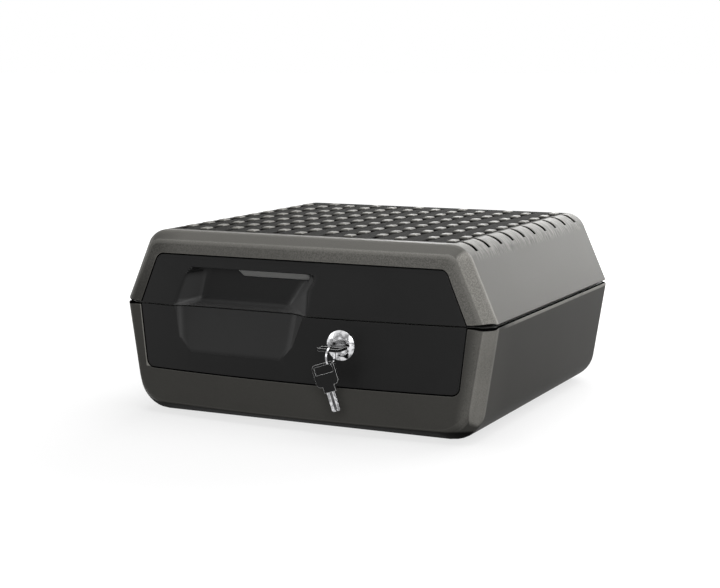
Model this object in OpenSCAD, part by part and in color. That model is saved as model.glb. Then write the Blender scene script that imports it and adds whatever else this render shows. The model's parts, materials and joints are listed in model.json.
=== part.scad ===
// Fire chest with a key lock: two moulded shells filled with cast insulation, a lined tray in
// each half, a squeeze latch in the lid's finger pocket and a cam lock in the base.
// Millimetres, Z up. The origin is on the floor, midway between the key ring and the hinges.
// The modules measure Y from the front corners; move_to_frame() puts them in the part's frame.

/* [Shells] */
// Width across both sides at the parting line
chest_w = 391; // [380:1:410]
// Depth from the front corners to the rear face
chest_d = 342; // [336:1:360]
// Height of the parting line above the floor
parting_h = 107.5; // [105:0.5:114]
// Height of the lid's flat top above the parting line
lid_h = 71; // [68:0.5:78]
// Gap between the halves at the parting line
parting_gap = 2.4; // [2:0.1:3]
// Lean of the lid's sides from vertical, in degrees
lid_lean = 23.9; // [20:0.1:26]
// Lean of the base's sides from vertical, in degrees
base_lean = 9.1; // [7:0.1:11]
// Radius along the lid's long upper edges
lid_round = 20; // [14:1:26]
// Radius along the base's long lower edges
base_round = 30; // [22:1:34]
// Width of the flat cut round the front and rear faces
edge_cut = 9.4; // [8:0.1:11]
// Run of that cut along the sides
edge_run = 12.3; // [10:0.1:14]
// How far the front bows out at its middle
front_bow = 13.5; // [11:0.5:15]
// Wall of both shells
shell_t = 3.5; // [3:0.1:4.5]
// Wall of both shells behind the front panels
front_t = 7; // [6.5:0.1:8]

/* [Tread] */
// Rows of raised pads from front to back
tread_rows = 19; // [9:2:19]
// Columns of raised pads from side to side
tread_cols = 12; // [6:2:12]
// Spacing of the rows
row_pitch = 15.2; // [14:0.1:15.4]
// Spacing of the columns
col_pitch = 26; // [23:0.5:26.5]
// Length of a pad from side to side
pad_w = 7.5; // [5:0.5:17]
// Length of a pad from front to back
pad_l = 11.5; // [6:0.5:13]
// Height of a pad above the lid's flat top
pad_h = 1.5; // [1:0.1:2.5]
// Width of the slots that wrap over the side edges
slot_w = 5; // [3:0.1:6]
// Depth of those slots
slot_depth = 1.8; // [1:0.1:2.2]

/* [Trays] */
// Width inside both trays
tray_w = 290; // [270:1:300]
// Distance of the trays' front wall from the front corners
tray_y = 68; // [67:0.5:72]
// Distance of the trays' rear wall from the rear face
tray_back = 36; // [32:1:60]
// Height of the base tray's floor above the floor
tray_floor = 38; // [32:1:46]
// Height inside the lid tray above the parting line
lid_tray_h = 32; // [24:1:36]
// Corner radius inside both trays
tray_r = 18; // [12:1:24]
// Wall of both liners
liner_t = 2; // [1.6:0.1:2.6]
// Thickness of the liners' rims
rim_t = 2.5; // [2:0.1:3]
// Width of the rim seal
seal_w = 5; // [4:0.5:6]
// Depth of the groove that the seal sits in
seal_groove = 1.2; // [1:0.1:1.6]

/* [Front panels] */
// Half width of the panels at the parting line
panel_half_w = 171.9; // [168:0.1:174]
// Half width of the lid's panel at its top edge
panel_top_half_w = 151; // [147:0.5:153]
// Half width of the base's panel at its lower edge
panel_low_half_w = 164.7; // [161:0.5:166]
// Height of the panels' top edge above the parting line
panel_up = 49.8; // [47:0.1:51]
// Height of the panels' lower edge below the parting line
panel_down = 63.1; // [60:0.1:66]
// Corner radius of the panels
panel_r = 8; // [5:0.5:12]
// Thickness of the panels
panel_t = 3; // [2.5:0.1:3.2]
// How far the panels lie below the face round them
panel_inset = 0.6; // [0.4:0.1:1]

/* [Finger pocket] */
// Left end of the pocket's back wall
pocket_left = -101.4; // [-106:0.1:-97]
// Right end of the pocket's back wall
pocket_right = 8; // [4:0.1:12]
// Height of the pocket's upper edge above the parting line
pocket_up = 38; // [36:0.1:39]
// Distance of the pocket's back wall from the front corners
pocket_y = 12; // [10:0.1:13]
// Height of the back wall's lower edge above the parting line
pocket_sill = 5.5; // [5:0.1:8]
// Depth of the scoop below the parting line
scoop_down = 43; // [38:0.5:46]
// Wall of the pocket and the scoop
pocket_t = 2.2; // [2:0.1:2.6]

/* [Latch] */
// Distance of the latch axle from the front corners
latch_y = 36; // [35:0.5:38]
// Height of the latch axle above the parting line
latch_up = 38.5; // [37:0.5:40]
// Radius of the latch axle
latch_axle_r = 2; // [1.8:0.1:2.4]
// Radial running clearance of the moving shafts
run_gap = 0.05; // [0.02:0.01:0.09]
// Thickness of the latch hooks and of the bracket
steel_t = 2.5; // [2:0.1:3]
// Reach of each hook's nose under the strike plate
hook_bite = 4; // [3:0.1:4.5]

/* [Lock] */
// Distance of the lock from the middle of the chest, to the right
lock_x = 52.4; // [50:0.1:60]
// Distance of the lock below the parting line
lock_down = 23.4; // [22:0.1:27]
// Radius of the lock's flange
flange_r = 14; // [12.5:0.1:15]
// Thickness of the flange
flange_t = 4; // [3:0.1:5]
// Radius of the lock's barrel
barrel_r = 9.5; // [9:0.1:10]
// Radius of the plug that the key turns
plug_r = 6.5; // [6:0.1:7]
// Reach of the cam from the plug's axis
cam_reach = 17; // [15:0.1:17.5]

/* [Keys] */
// Width of a key's blade
blade_w = 8.5; // [8:0.1:9]
// Thickness of a key's blade
blade_t = 2; // [1.8:0.1:2.2]
// Length of a key's blade beyond its bow
blade_l = 24; // [22:0.5:26]
// Width of a key's bow
bow_w = 23; // [22:0.5:24]
// Length of a key's bow
bow_l = 21; // [19:0.5:22]
// Thickness of a key's bow
bow_t = 2.8; // [2.6:0.1:3]
// Width of the slot across a key's bow, along the key
bow_slot = 7.4; // [7.2:0.1:8]
// Width of the rim round that slot
bow_rim = 2.3; // [2.1:0.1:2.8]
// Bare blade between the lock and the bow
bare_blade = 4; // [3:0.5:6]
// Outer radius of the split ring
ring_r = 8.8; // [8:0.1:9.5]
// Thickness of the ring across its turns
ring_w = 1.8; // [1.6:0.1:2]
// Width of the ring's wire
ring_wire = 1.4; // [1.2:0.1:1.5]
// Distance of the ring from the lock key's axis, to the right
ring_x = 3; // [0:0.5:4]

/* [Hinges and feet] */
// Distance of each hinge from the middle of the chest
hinge_x = 110; // [95:1:125]
// Length of one hinge knuckle
knuckle_l = 14; // [12:0.5:16]
// Radius of the hinge knuckles
knuckle_r = 4; // [3.8:0.1:4.5]
// Radius of the hinge pins
hinge_pin_r = 1.8; // [1.5:0.1:2.2]
// Thickness of the hinge leaves
leaf_t = 2.5; // [2:0.1:2.8]
// Height of the hinge leaves
leaf_h = 16; // [14:0.5:20]
// Gap between the hinge knuckles and the rear face
hinge_out = 0.5; // [0.4:0.1:1]
// Radius of the rubber feet
foot_r = 9; // [7:0.5:11]
// Height of the shell above the floor
foot_h = 1.5; // [1:0.1:2.5]
// Distance of the feet from the middle of the chest
foot_x = 132; // [120:1:136]
// Distance of the feet from the front corners and the rear face
foot_in = 42; // [34:1:60]

/* [Hidden] */
$fn = 48;
arc_steps = 8;
bow_steps = 8;
far = 500;
near = 50;
thin = 0.01;
fit_gap = 0.4;
front_gap = 0.5;
touch_gap = 0.3;
top_h = parting_h + lid_h;
base_top = parting_h - parting_gap / 2;
lid_low = parting_h + parting_gap / 2;
panel_gap = 0.5;
panel_seat = panel_inset + panel_t;

// Outline of the shells across the chest: each half starts on its flat and ends at the parting
function lean_x(half, lean, dz, inset) = half - inset / cos(lean) - dz * tan(lean);
function arc(x, z, r, from, to) =
    [for (k = [0:arc_steps]) let (a = from + (to - from) * k / arc_steps) [x + r * cos(a), z + r * sin(a)]];
function both_sides(half) = concat(half, [for (k = [len(half) - 1:-1:0]) [-half[k][0], half[k][1]]]);
function lower_half(half, lean, low, r, inset) =
    let (z = low + inset + r)
    concat(arc(lean_x(half, lean, parting_h - z, inset + r), z, r, -90, -lean),
        [[lean_x(half, lean, 0, inset), parting_h]]);
function upper_half(half, lean, high, r, inset) =
    let (z = high - inset - r)
    concat([[lean_x(half, lean, 0, inset), parting_h]],
        arc(lean_x(half, lean, z - parting_h, inset + r), z, r, lean, 90));

// The front's bow in plan, cut off at a half width
bow_half = chest_w / 2 - edge_cut;
function bow_at(x) = front_bow * (1 - pow(x / bow_half, 2));
function bow_line(half, y) =
    [for (k = [-bow_steps:bow_steps]) let (x = max(-half, min(half, bow_half * k / bow_steps)))
        [x, y - bow_at(x)]];

module prism(points, from, to)
    translate([0, to, 0]) rotate([90, 0, 0]) linear_extrude(to - from) polygon(points);
module slab(points, from, to) translate([0, 0, from]) linear_extrude(to - from) polygon(points);
module side_plate(points, from, to)
    translate([from, 0, 0]) rotate([90, 0, 90]) linear_extrude(to - from) polygon(points);
module box(x, y, z) translate([x[0], y[0], z[0]]) cube([x[1] - x[0], y[1] - y[0], z[1] - z[0]]);
module rod_x(r, y, z, x) translate([x[0], y, z]) rotate([0, 90, 0]) cylinder(r = r, h = x[1] - x[0]);
module rod_y(r, x, z, y) translate([x, y[1], z]) rotate([90, 0, 0]) cylinder(r = r, h = y[1] - y[0]);
module above(z) box([-far, far], [-far, far], [z, z + far]);
module below(z) box([-far, far], [-far, far], [z - far, z]);

// Solid body of each half up to the parting line: inset draws in its sides, front its bowed face
module base_body(inset, front) {
    r = base_round - inset;
    knee = foot_h + inset + r;
    side = inset + edge_cut;
    mid = both_sides(lower_half(chest_w / 2, base_lean, foot_h, r, inset));
    cut = both_sides(lower_half(chest_w / 2, base_lean, foot_h, r, side));
    hull() {
        prism(mid, edge_run + inset / 2, chest_d - edge_run - inset / 2);
        prism(cut, front, chest_d - inset);
        slab(bow_line(lean_x(chest_w / 2, base_lean, 0, side), front), parting_h - thin, parting_h);
        slab(bow_line(lean_x(chest_w / 2, base_lean, parting_h - knee, side), front), knee, knee + thin);
        slab(bow_line(lean_x(chest_w / 2, base_lean, parting_h - knee, side + r), front),
            foot_h + side, foot_h + side + thin);
    }
}
module lid_body(inset, front) {
    r = lid_round - inset;
    side = inset + edge_cut;
    mid = both_sides(upper_half(chest_w / 2, lid_lean, top_h, r, inset));
    cut = both_sides(upper_half(chest_w / 2, lid_lean, top_h, max(lid_round - side, 4), side));
    hull() {
        prism(mid, edge_run + inset / 2, chest_d - edge_run - inset / 2);
        prism(cut, front, chest_d - inset);
    }
    bow_top = parting_h + panel_up;
    hull() {
        slab(bow_line(lean_x(chest_w / 2, lid_lean, 0, side), front), parting_h, parting_h + thin);
        prism([[-lean_x(chest_w / 2, lid_lean, 0, side), parting_h],
            [lean_x(chest_w / 2, lid_lean, 0, side), parting_h],
            [lean_x(chest_w / 2, lid_lean, panel_up, side), bow_top],
            [-lean_x(chest_w / 2, lid_lean, panel_up, side), bow_top]], front, front + shell_t);
    }
}
module base_core() difference() {
    base_body(shell_t + fit_gap, front_t + front_gap);
    above(base_top);
}
module lid_core() difference() {
    lid_body(shell_t + fit_gap, front_t + front_gap);
    below(lid_low);
}

// Both panels share one outline
module panel_block(inset) {
    up_lean = atan((panel_half_w - panel_top_half_w) / panel_up);
    low_lean = atan((panel_half_w - panel_low_half_w) / panel_down);
    r = panel_r - inset;
    prism(both_sides(concat(
        lower_half(panel_half_w, low_lean, parting_h - panel_down, r, inset),
        upper_half(panel_half_w, up_lean, parting_h + panel_up, r, inset))), -near, near);
}

// Finger pocket in the lid and scoop in the base, each grown by a wall
pocket_front = -front_bow - 1;
pocket_top = parting_h + pocket_up;
module pocket(grow) {
    slope = (pocket_sill - panel_gap) / pocket_y;
    high = pocket_top + grow;
    sill = parting_h + pocket_sill - grow;
    low = parting_h + panel_gap + slope * pocket_front - grow;
    hull() {
        prism([[pocket_left - 27 - grow, high], [pocket_left - 41 - grow, low],
            [pocket_right + 10 + grow, low], [pocket_right + 26 + grow, high]],
            pocket_front - thin, pocket_front);
        prism([[pocket_left - grow, high], [pocket_left - 8.6 - grow, sill],
            [pocket_right - 23 + grow, sill], [pocket_right + grow, high]],
            pocket_y + grow - thin, pocket_y + grow);
    }
}
function bow_span(left, right, y) =
    [for (k = [0:4]) let (x = left + (right - left) * k / 4) [x, y - bow_at(x)]];
module scoop(grow) {
    left = pocket_left - grow;
    right = pocket_right + grow;
    low = parting_h - scoop_down - grow;
    mid = parting_h - scoop_down * 0.68;
    hull() {
        slab([[left - 24, grow], [right - 8, grow], [right + 10, pocket_front], [left - 41, pocket_front]],
            parting_h, parting_h + thin);
        slab(concat(bow_span(left - 21, right - 11, front_bow * 0.3 + grow),
            [[right - 3, pocket_front], [left - 30, pocket_front]]), mid, mid + thin);
        slab(concat(bow_span(left - 14, right - 17, panel_inset + 0.2 + grow),
            [[right - 17, pocket_front], [left - 14, pocket_front]]), low, low + thin);
    }
}

// Trays, rims and seal
module rounded(w, l, r) union() {
    square([w, l - 2 * r], center = true);
    square([w - 2 * r, l], center = true);
    for (u = [r - w / 2, w / 2 - r], v = [r - l / 2, l / 2 - r]) translate([u, v]) circle(r = r);
}
tray_d = chest_d - tray_y - tray_back;
module tray_shape(grow) translate([0, tray_y + tray_d / 2])
    rounded(tray_w + 2 * grow, tray_d + 2 * grow, tray_r + grow);
module tray(grow, from, to) translate([0, 0, from]) linear_extrude(to - from) tray_shape(grow);
seal_off = liner_t + 3;
base_rim = base_top - rim_t;
lid_rim = lid_low + rim_t;
lid_tray_top = parting_h + lid_tray_h;

// Latch: axle, lever and hooks in the lid, strike plate in the base
latch_z = parting_h + latch_up;
lever_in = 38.9;
lever_past = 1.8;
lever_left = pocket_left + lever_in;
lever_right = pocket_right + lever_past;
lever_swing = 10;
lip_y = 2;
lip_h = 7.3;
lip_low = pocket_top - lip_h;
lip_back = pocket_y + 0.3;
lip_t = 1.4;
hub_r = 6;
spring_r = 3.9;
spring_wire = 0.6;
plate_low = latch_z - spring_r + spring_wire;
plate_t = 3.5;
plate_top = plate_low + plate_t;
plate_back = latch_y - hub_r - 2;
hook_in = 8;
hook_left = lever_left + hook_in;
hook_right = lever_right - hook_in;
hub = [hook_left + steel_t, hook_right - steel_t];
hook_down = 14;
hook_low = base_top - hook_down;
nose_t = 5;
nose_reach = 9;
nose_y = latch_y + nose_reach;
strike_y = nose_y - hook_bite;
strike_gap = 0.7;
strike_z = hook_low + nose_t + strike_gap;
latch_front = pocket_y + pocket_t + 1;
latch_room = 18;
latch_back = latch_y + latch_room;
latch_side = 6;
latch_ends = [lever_left - latch_side, lever_right + latch_side];
ledge = 7;
ledge_back = latch_back + ledge;
strike = [latch_ends[0] + 1, latch_ends[1] - 1];
strike_back = ledge_back - 1;
bracket_y = latch_back - 4;
bracket_up = 6;
bracket_down = 26;
bracket_foot = 12;
bracket_feet_y = 34;
head_h = 1.4;
module latch_well(from, to) box(latch_ends, [latch_front, latch_back], [from, to]);

// Lock: housing, plug and cam, from the front backwards
lock_z = parting_h - lock_down;
seat_y = panel_inset - bow_at(lock_x + flange_r + 1);
flange_front = seat_y - flange_t;
barrel_back = 12;
cam_y = barrel_back + fit_gap;
cam_back = cam_y + steel_t;
nut_y = front_t - bow_at(lock_x + flange_r + 4) + 0.6;
nut_t = 4;
tail_w = 7;
cam_w = 8;
lock_side = [lock_x - 22, lock_x + 38];
lock_back = cam_back + 9;
mouth_y = 5;
keeper_x = lock_x + cam_reach + 1.2;
keeper_z = lock_z - cam_w / 2 - 0.6;

// Keys and ring
key_front = flange_front - bare_blade - bow_l;
ring_in = ring_r - ring_wire;
rim_sit = sqrt(pow(ring_in - 2 * touch_gap, 2) - pow(bow_t / 2, 2));
ring_y = key_front + bow_rim / 2;
ring_z = lock_z + bow_t / 2 - rim_sit;
slot_half = bow_w / 2 - bow_rim;
pivot_u = slot_half - ring_w / 2 - 2 * touch_gap;
pivot_v = bow_rim + ring_wire / 2 + ring_in - rim_sit;
tang_l = 7;
steel_weight = 7.85;
plastic_weight = 1.1;
blade_m = steel_weight * blade_w * blade_t * (blade_l + tang_l);
bow_m = plastic_weight * bow_t * (bow_w * bow_l - 2 * slot_half * bow_slot);
balance_v = (blade_m * (bow_l + (blade_l - tang_l) / 2) + bow_m * bow_l * 0.6) / (blade_m + bow_m);
spare_lean = atan(pivot_u / (balance_v - pivot_v));

// Hinges
hinge_y = chest_d + knuckle_r + hinge_out;
hinge_half = knuckle_l * 1.5 + fit_gap;
leaf_y = chest_d - hinge_y;
leaf_z = knuckle_r + 0.6;
leaf_screw_x = hinge_half - 6;
leaf_screw_z = leaf_z + leaf_h / 2;
screw_r = 1.5;

// The frame's origin lies midway between the ring and the hinges
frame_y = -(min(key_front, ring_y - ring_r) + hinge_y + knuckle_r) / 2;
module move_to_frame() translate([0, frame_y, 0]) children();

// Screw along Z, head upwards, with a cross recess
module screw(r, length) difference() {
    union() {
        cylinder(r = r * 2, h = head_h);
        translate([0, 0, -length]) cylinder(r = r, h = length);
    }
    for (a = [0, 90]) rotate([0, 0, a])
        translate([-r * 1.3, -0.4, head_h - 0.7]) cube([r * 2.6, 0.8, 1]);
}

// Base shell and what it holds
foot_seat = 1.5;
foot_fn = 64;
module foot_places() for (sx = [-1, 1], y = [foot_in, chest_d - foot_in])
    translate([sx * foot_x, y, 0]) children();
module hinge_places() for (sx = [-1, 1]) translate([sx * hinge_x, hinge_y, parting_h]) children();
module leaf_screws(side) hinge_places() for (sx = [-1, 1])
    translate([sx * leaf_screw_x, leaf_y + leaf_t, side * leaf_screw_z]) rotate([-90, 0, 0]) children();
module leaf_bores(side) leaf_screws(side)
    translate([0, 0, -near / 4]) cylinder(r = screw_r + 0.1, h = near / 2);
module hinge_relief(side) hinge_places()
    box([-hinge_half, hinge_half], [-near / 2, 0], [min(0, side * near / 2), max(0, side * near / 2)]);
module lock_boss() rod_y(flange_r + 4, lock_x, lock_z, [nut_y - 4, nut_y]);
module lock_bore(r) rod_y(r, lock_x, lock_z, [-near, near / 2]);

module base_shell() color([0.24, 0.235, 0.225]) move_to_frame() difference() {
    union() {
        difference() {
            base_body(0, 0);
            base_body(shell_t, front_t);
        }
        lock_boss();
    }
    above(base_top);
    difference() {
        panel_block(0);
        translate([0, panel_seat, 0]) base_body(0, 0);
    }
    scoop(pocket_t + touch_gap);
    lock_bore(barrel_r + 0.1);
    leaf_bores(-1);
    foot_places() cylinder(r = foot_r + 0.2, h = foot_h + foot_seat, $fn = foot_fn);
}
module rubber_feet() color([0.1, 0.1, 0.1]) move_to_frame() foot_places()
    cylinder(r = foot_r, h = foot_h + foot_seat);
module base_panel() color([0.13, 0.13, 0.13]) move_to_frame() difference() {
    intersection() {
        translate([0, panel_inset, 0]) base_body(0, 0);
        union() {
            difference() {
                panel_block(fit_gap);
                translate([0, panel_seat, 0]) base_body(0, 0);
            }
            scoop(pocket_t);
        }
    }
    above(parting_h - panel_gap);
    scoop(0);
    lock_bore(barrel_r + 0.1);
    rod_y(flange_r + 0.4, lock_x, lock_z, [-near, seat_y]);
}
strike_screw_in = 10;
module strike_places() for (x = [strike[0] + strike_screw_in, strike[1] - strike_screw_in])
    translate([x, latch_back, strike_z]) children();
module base_fill() color([0.72, 0.7, 0.66]) move_to_frame() {
    difference() {
        base_core();
        above(base_rim);
        tray(liner_t + fit_gap, tray_floor - liner_t, base_top);
        scoop(pocket_t + fit_gap + 1);
        latch_well(hook_low - 6, base_top);
        box(latch_ends, [latch_back - 1, ledge_back], [strike_z, base_top]);
        box(lock_side, [-near, lock_back], [lock_z - 20, base_top]);
        hinge_relief(-1);
        strike_places() translate([0, 0, -12]) cylinder(r = screw_r + 0.1, h = 14);
    }
    box([-tray_w / 2, tray_w / 2], [tray_y, tray_y + tray_d], [foot_h + shell_t, foot_h + shell_t + 1]);
}
module base_liner() color([0.62, 0.62, 0.6]) move_to_frame() difference() {
    union() {
        difference() {
            base_core();
            below(base_rim);
        }
        tray(liner_t, tray_floor - liner_t, base_top - thin);
    }
    tray(0, tray_floor, parting_h);
    difference() {
        tray(seal_off + seal_w, base_top - seal_groove, parting_h);
        tray(seal_off, base_rim, parting_h + 1);
    }
    scoop(pocket_t + fit_gap + 1);
    latch_well(base_rim - 1, parting_h);
    box(lock_side, [mouth_y, lock_back], [base_rim - 1, parting_h]);
}
module rim_seal() color([0.08, 0.08, 0.08]) move_to_frame() difference() {
    tray(seal_off + seal_w - 0.2, base_top - seal_groove, lid_low - touch_gap);
    tray(seal_off + 0.2, base_rim, lid_low);
}
module strike_plate() color([0.6, 0.6, 0.62]) move_to_frame() difference() {
    box(strike, [strike_y, strike_back], [strike_z, strike_z + steel_t]);
    strike_places() cylinder(r = screw_r + 0.1, h = near);
}
module strike_screws() color([0.66, 0.66, 0.68]) move_to_frame()
    strike_places() translate([0, 0, steel_t]) screw(screw_r, steel_t + 9);

// Lock
module lock_housing() color([0.8, 0.8, 0.82]) move_to_frame() difference() {
    union() {
        rod_y(flange_r, lock_x, lock_z, [flange_front + 1, seat_y]);
        rod_y(flange_r - 1, lock_x, lock_z, [flange_front, seat_y]);
        rod_y(barrel_r, lock_x, lock_z, [seat_y - 1, barrel_back]);
    }
    rod_y(plug_r + run_gap, lock_x, lock_z, [-near, near]);
    rod_y(plug_r + 1.5 + run_gap, lock_x, lock_z, [-near, flange_front + 1.5]);
}
module lock_nut() color([0.7, 0.7, 0.72]) move_to_frame() difference() {
    translate([lock_x, nut_y + nut_t, lock_z]) rotate([90, 0, 0])
        cylinder(r = flange_r + 1, h = nut_t, $fn = 6);
    lock_bore(barrel_r + 0.1);
}
module lock_plug() color([0.84, 0.84, 0.85]) move_to_frame() difference() {
    union() {
        rod_y(plug_r, lock_x, lock_z, [flange_front, barrel_back]);
        rod_y(plug_r + 1.5, lock_x, lock_z, [flange_front, flange_front + 1.4]);
        box([lock_x - tail_w / 2, lock_x + tail_w / 2], [barrel_back - 1, cam_back],
            [lock_z - tail_w / 2, lock_z + tail_w / 2]);
    }
    box([lock_x - blade_w / 2 - 0.1, lock_x + blade_w / 2 + 0.1],
        [flange_front - 1, flange_front + blade_l - bare_blade + 0.5],
        [lock_z - blade_t / 2 - 0.1, lock_z + blade_t / 2 + 0.1]);
    rod_y(screw_r + 0.1, lock_x, lock_z, [cam_back - 7, near]);
}
module lock_cam() color([0.72, 0.72, 0.74]) move_to_frame() difference() {
    union() {
        rod_y(cam_w, lock_x, lock_z, [cam_y, cam_back]);
        box([lock_x - cam_w / 2, lock_x + cam_w / 2], [cam_y, cam_back], [lock_z, lock_z + cam_reach]);
    }
    box([lock_x - tail_w / 2, lock_x + tail_w / 2], [0, near], [lock_z - tail_w / 2, lock_z + tail_w / 2]);
}
module cam_screw() color([0.66, 0.66, 0.68]) move_to_frame()
    translate([lock_x, cam_back, lock_z]) rotate([-90, 0, 0]) {
        cylinder(r = cam_w - 2, h = 1);
        translate([0, 0, 1]) screw(screw_r, 7);
    }

// Keys: u across the key, v from its front towards the tip
module bow_outline() difference() {
    translate([0, bow_l / 2]) rounded(bow_w, bow_l, 4);
    translate([0, bow_rim + bow_slot / 2]) rounded(2 * slot_half, bow_slot, 1);
}
module key_bow() difference() {
    translate([0, 0, -bow_t / 2]) linear_extrude(bow_t) bow_outline();
    box([-blade_w / 2, blade_w / 2], [bow_l - tang_l, bow_l + 1], [-blade_t / 2, blade_t / 2]);
}
module key_blade() {
    difference() {
        box([-blade_w / 2, blade_w / 2], [bow_l - tang_l, bow_l + blade_l], [-blade_t / 2, blade_t / 2]);
        for (side = [-1, 1]) box([-0.8, 0.8], [bow_l + bare_blade, bow_l + blade_l + 1],
            side > 0 ? [blade_t / 2 - 0.5, blade_t] : [-blade_t, 0.5 - blade_t / 2]);
        for (side = [-1, 1]) translate([side * blade_w / 2, bow_l + blade_l, 0]) rotate([0, 0, 45])
            cube([2, 2, blade_t + 1], center = true);
        for (k = [0:3]) translate([blade_w / 2 + 0.4, bow_l + bare_blade + 4 + 4 * k, 0]) rotate([0, 0, 45])
            cube([1.8, 1.8, blade_t + 1], center = true);
    }
    box([-blade_w / 2 - 1.2, blade_w / 2 + 1.2], [bow_l, bow_l + 1.6], [-blade_t / 2, blade_t / 2]);
}
module in_lock() translate([lock_x, key_front, lock_z]) children();
module on_ring() translate([lock_x + ring_x, ring_y, ring_z - ring_in - ring_wire / 2])
    rotate([0, -spare_lean, 0]) rotate([-90, 0, 0]) translate([-pivot_u, -pivot_v, 0]) children();
module lock_key_bow() color([0.06, 0.06, 0.06]) move_to_frame() in_lock() key_bow();
module lock_key_blade() color([0.82, 0.82, 0.83]) move_to_frame() in_lock() key_blade();
module spare_key_bow() color([0.06, 0.06, 0.06]) move_to_frame() on_ring() key_bow();
module spare_key_blade() color([0.82, 0.82, 0.83]) move_to_frame() on_ring() key_blade();
module split_ring() color([0.78, 0.78, 0.8]) move_to_frame()
    translate([lock_x + ring_x, ring_y, ring_z]) rotate([0, 90, 0]) rotate_extrude($fn = 72) difference() {
        translate([ring_in, -ring_w / 2]) square([ring_wire, ring_w]);
        translate([ring_r - 0.2, -0.1]) square([1, 0.2]);
    }

// Hinges: two outer knuckles on the base, the middle one on the lid
module leaf(side, ends) {
    box([-hinge_half, hinge_half], [leaf_y, leaf_y + leaf_t],
        side > 0 ? [leaf_z, leaf_z + leaf_h] : [-leaf_z - leaf_h, -leaf_z]);
    for (e = ends) {
        box(e, [leaf_y, leaf_y + leaf_t], side > 0 ? [0, leaf_z + 1] : [-leaf_z - 1, 0]);
        rod_x(knuckle_r, 0, 0, e);
    }
}
module base_hinges() color([0.5, 0.5, 0.51]) move_to_frame() difference() {
    hinge_places() leaf(-1, [[-hinge_half, -knuckle_l / 2 - fit_gap], [knuckle_l / 2 + fit_gap, hinge_half]]);
    hinge_places() rod_x(hinge_pin_r + run_gap, 0, 0, [-near, near]);
    leaf_bores(-1);
}
module lid_hinges() color([0.5, 0.5, 0.51]) move_to_frame() difference() {
    hinge_places() leaf(1, [[-knuckle_l / 2, knuckle_l / 2]]);
    hinge_places() rod_x(hinge_pin_r + run_gap, 0, 0, [-near, near]);
    leaf_bores(1);
}
module hinge_pins() color([0.72, 0.72, 0.74]) move_to_frame() hinge_places() {
    rod_x(hinge_pin_r, 0, 0, [-hinge_half - 0.5, hinge_half + 0.5]);
    for (x = [-hinge_half - 1.2, hinge_half]) rod_x(hinge_pin_r + 1, 0, 0, [x, x + 1.2]);
}
leaf_screw_l = leaf_t + shell_t + 2;
module base_hinge_screws() color([0.66, 0.66, 0.68]) move_to_frame()
    leaf_screws(-1) screw(screw_r, leaf_screw_l);
module lid_hinge_screws() color([0.66, 0.66, 0.68]) move_to_frame()
    leaf_screws(1) screw(screw_r, leaf_screw_l);

// Lid shell with its tread
tread_y = chest_d / 2 - row_pitch * (tread_rows - 1) / 2;
tread_x = -col_pitch * (tread_cols - 1) / 2;
round_x = lean_x(chest_w / 2, lid_lean, lid_h - lid_round, lid_round);
round_z = top_h - lid_round;
module pads() for (row = [0:tread_rows - 1], col = [0:tread_cols - 1]) if ((row + col) % 2 == 1)
    translate([tread_x + col_pitch * col - pad_w / 2, tread_y + row_pitch * row - pad_l / 2, top_h - 1])
        cube([pad_w, pad_l, pad_h + 1]);
module edge_slots() difference() {
    for (sx = [-1, 1], row = [0:2:tread_rows - 1]) translate([0, tread_y + row_pitch * row - slot_w / 2, 0])
        box(sx > 0 ? [round_x - 1, round_x + lid_round] : [-round_x - lid_round, 1 - round_x], [0, slot_w],
            [top_h - lid_round * 0.3, top_h + 1]);
    for (sx = [-1, 1]) rod_y(lid_round - slot_depth, sx * round_x, round_z, [0, chest_d]);
}
module lever_slot(front) box([lever_left - 1, lever_right + 1], [front, latch_front + 2],
    [lip_low - 1.7, pocket_top + 7.3]);
module lid_shell() color([0.26, 0.255, 0.245]) move_to_frame() {
    difference() {
        lid_body(0, 0);
        lid_body(shell_t, front_t);
        below(lid_low);
        difference() {
            panel_block(0);
            translate([0, panel_seat, 0]) lid_body(0, 0);
        }
        pocket(pocket_t + touch_gap);
        lever_slot(-1);
        leaf_bores(1);
        edge_slots();
    }
    pads();
}
module lid_panel() color([0.13, 0.13, 0.13]) move_to_frame() difference() {
    intersection() {
        translate([0, panel_inset, 0]) lid_body(0, 0);
        union() {
            difference() {
                panel_block(fit_gap);
                translate([0, panel_seat, 0]) lid_body(0, 0);
            }
            pocket(pocket_t);
        }
    }
    below(parting_h + panel_gap);
    pocket(0);
    lever_slot(lip_y - 1);
}
module lid_fill() color([0.72, 0.7, 0.66]) move_to_frame() {
    difference() {
        lid_core();
        below(lid_rim);
        tray(liner_t + fit_gap, lid_low, lid_tray_top + liner_t);
        pocket(pocket_t + fit_gap + 1);
        box([latch_ends[0] - bracket_foot - 4, latch_ends[1] + bracket_foot + 4], [latch_front, latch_back],
            [lid_low, latch_z + 14]);
        box([lever_left - 2, lever_right + 2], [-near, latch_front + 1], [lip_low - 3, pocket_top + 11]);
        hinge_relief(1);
    }
    box([-tray_w / 2 + 20, tray_w / 2 - 20], [tray_y, tray_y + tray_d],
        [top_h - shell_t - 1, top_h - shell_t]);
}
module lid_liner() color([0.62, 0.62, 0.6]) move_to_frame() difference() {
    union() {
        difference() {
            lid_core();
            above(lid_rim);
        }
        tray(liner_t, lid_low + thin, lid_tray_top + liner_t);
    }
    tray(0, parting_h, lid_tray_top);
    pocket(pocket_t + fit_gap + 1);
    latch_well(parting_h, lid_rim + 1);
    for (x = bracket_screw_x) translate([x, bracket_screw_y, parting_h]) cylinder(r = screw_r + 0.1, h = 9);
    for (x = keeper_screw_x) translate([x, keeper_screw_y, parting_h]) cylinder(r = screw_r + 0.1, h = 9);
}

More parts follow.
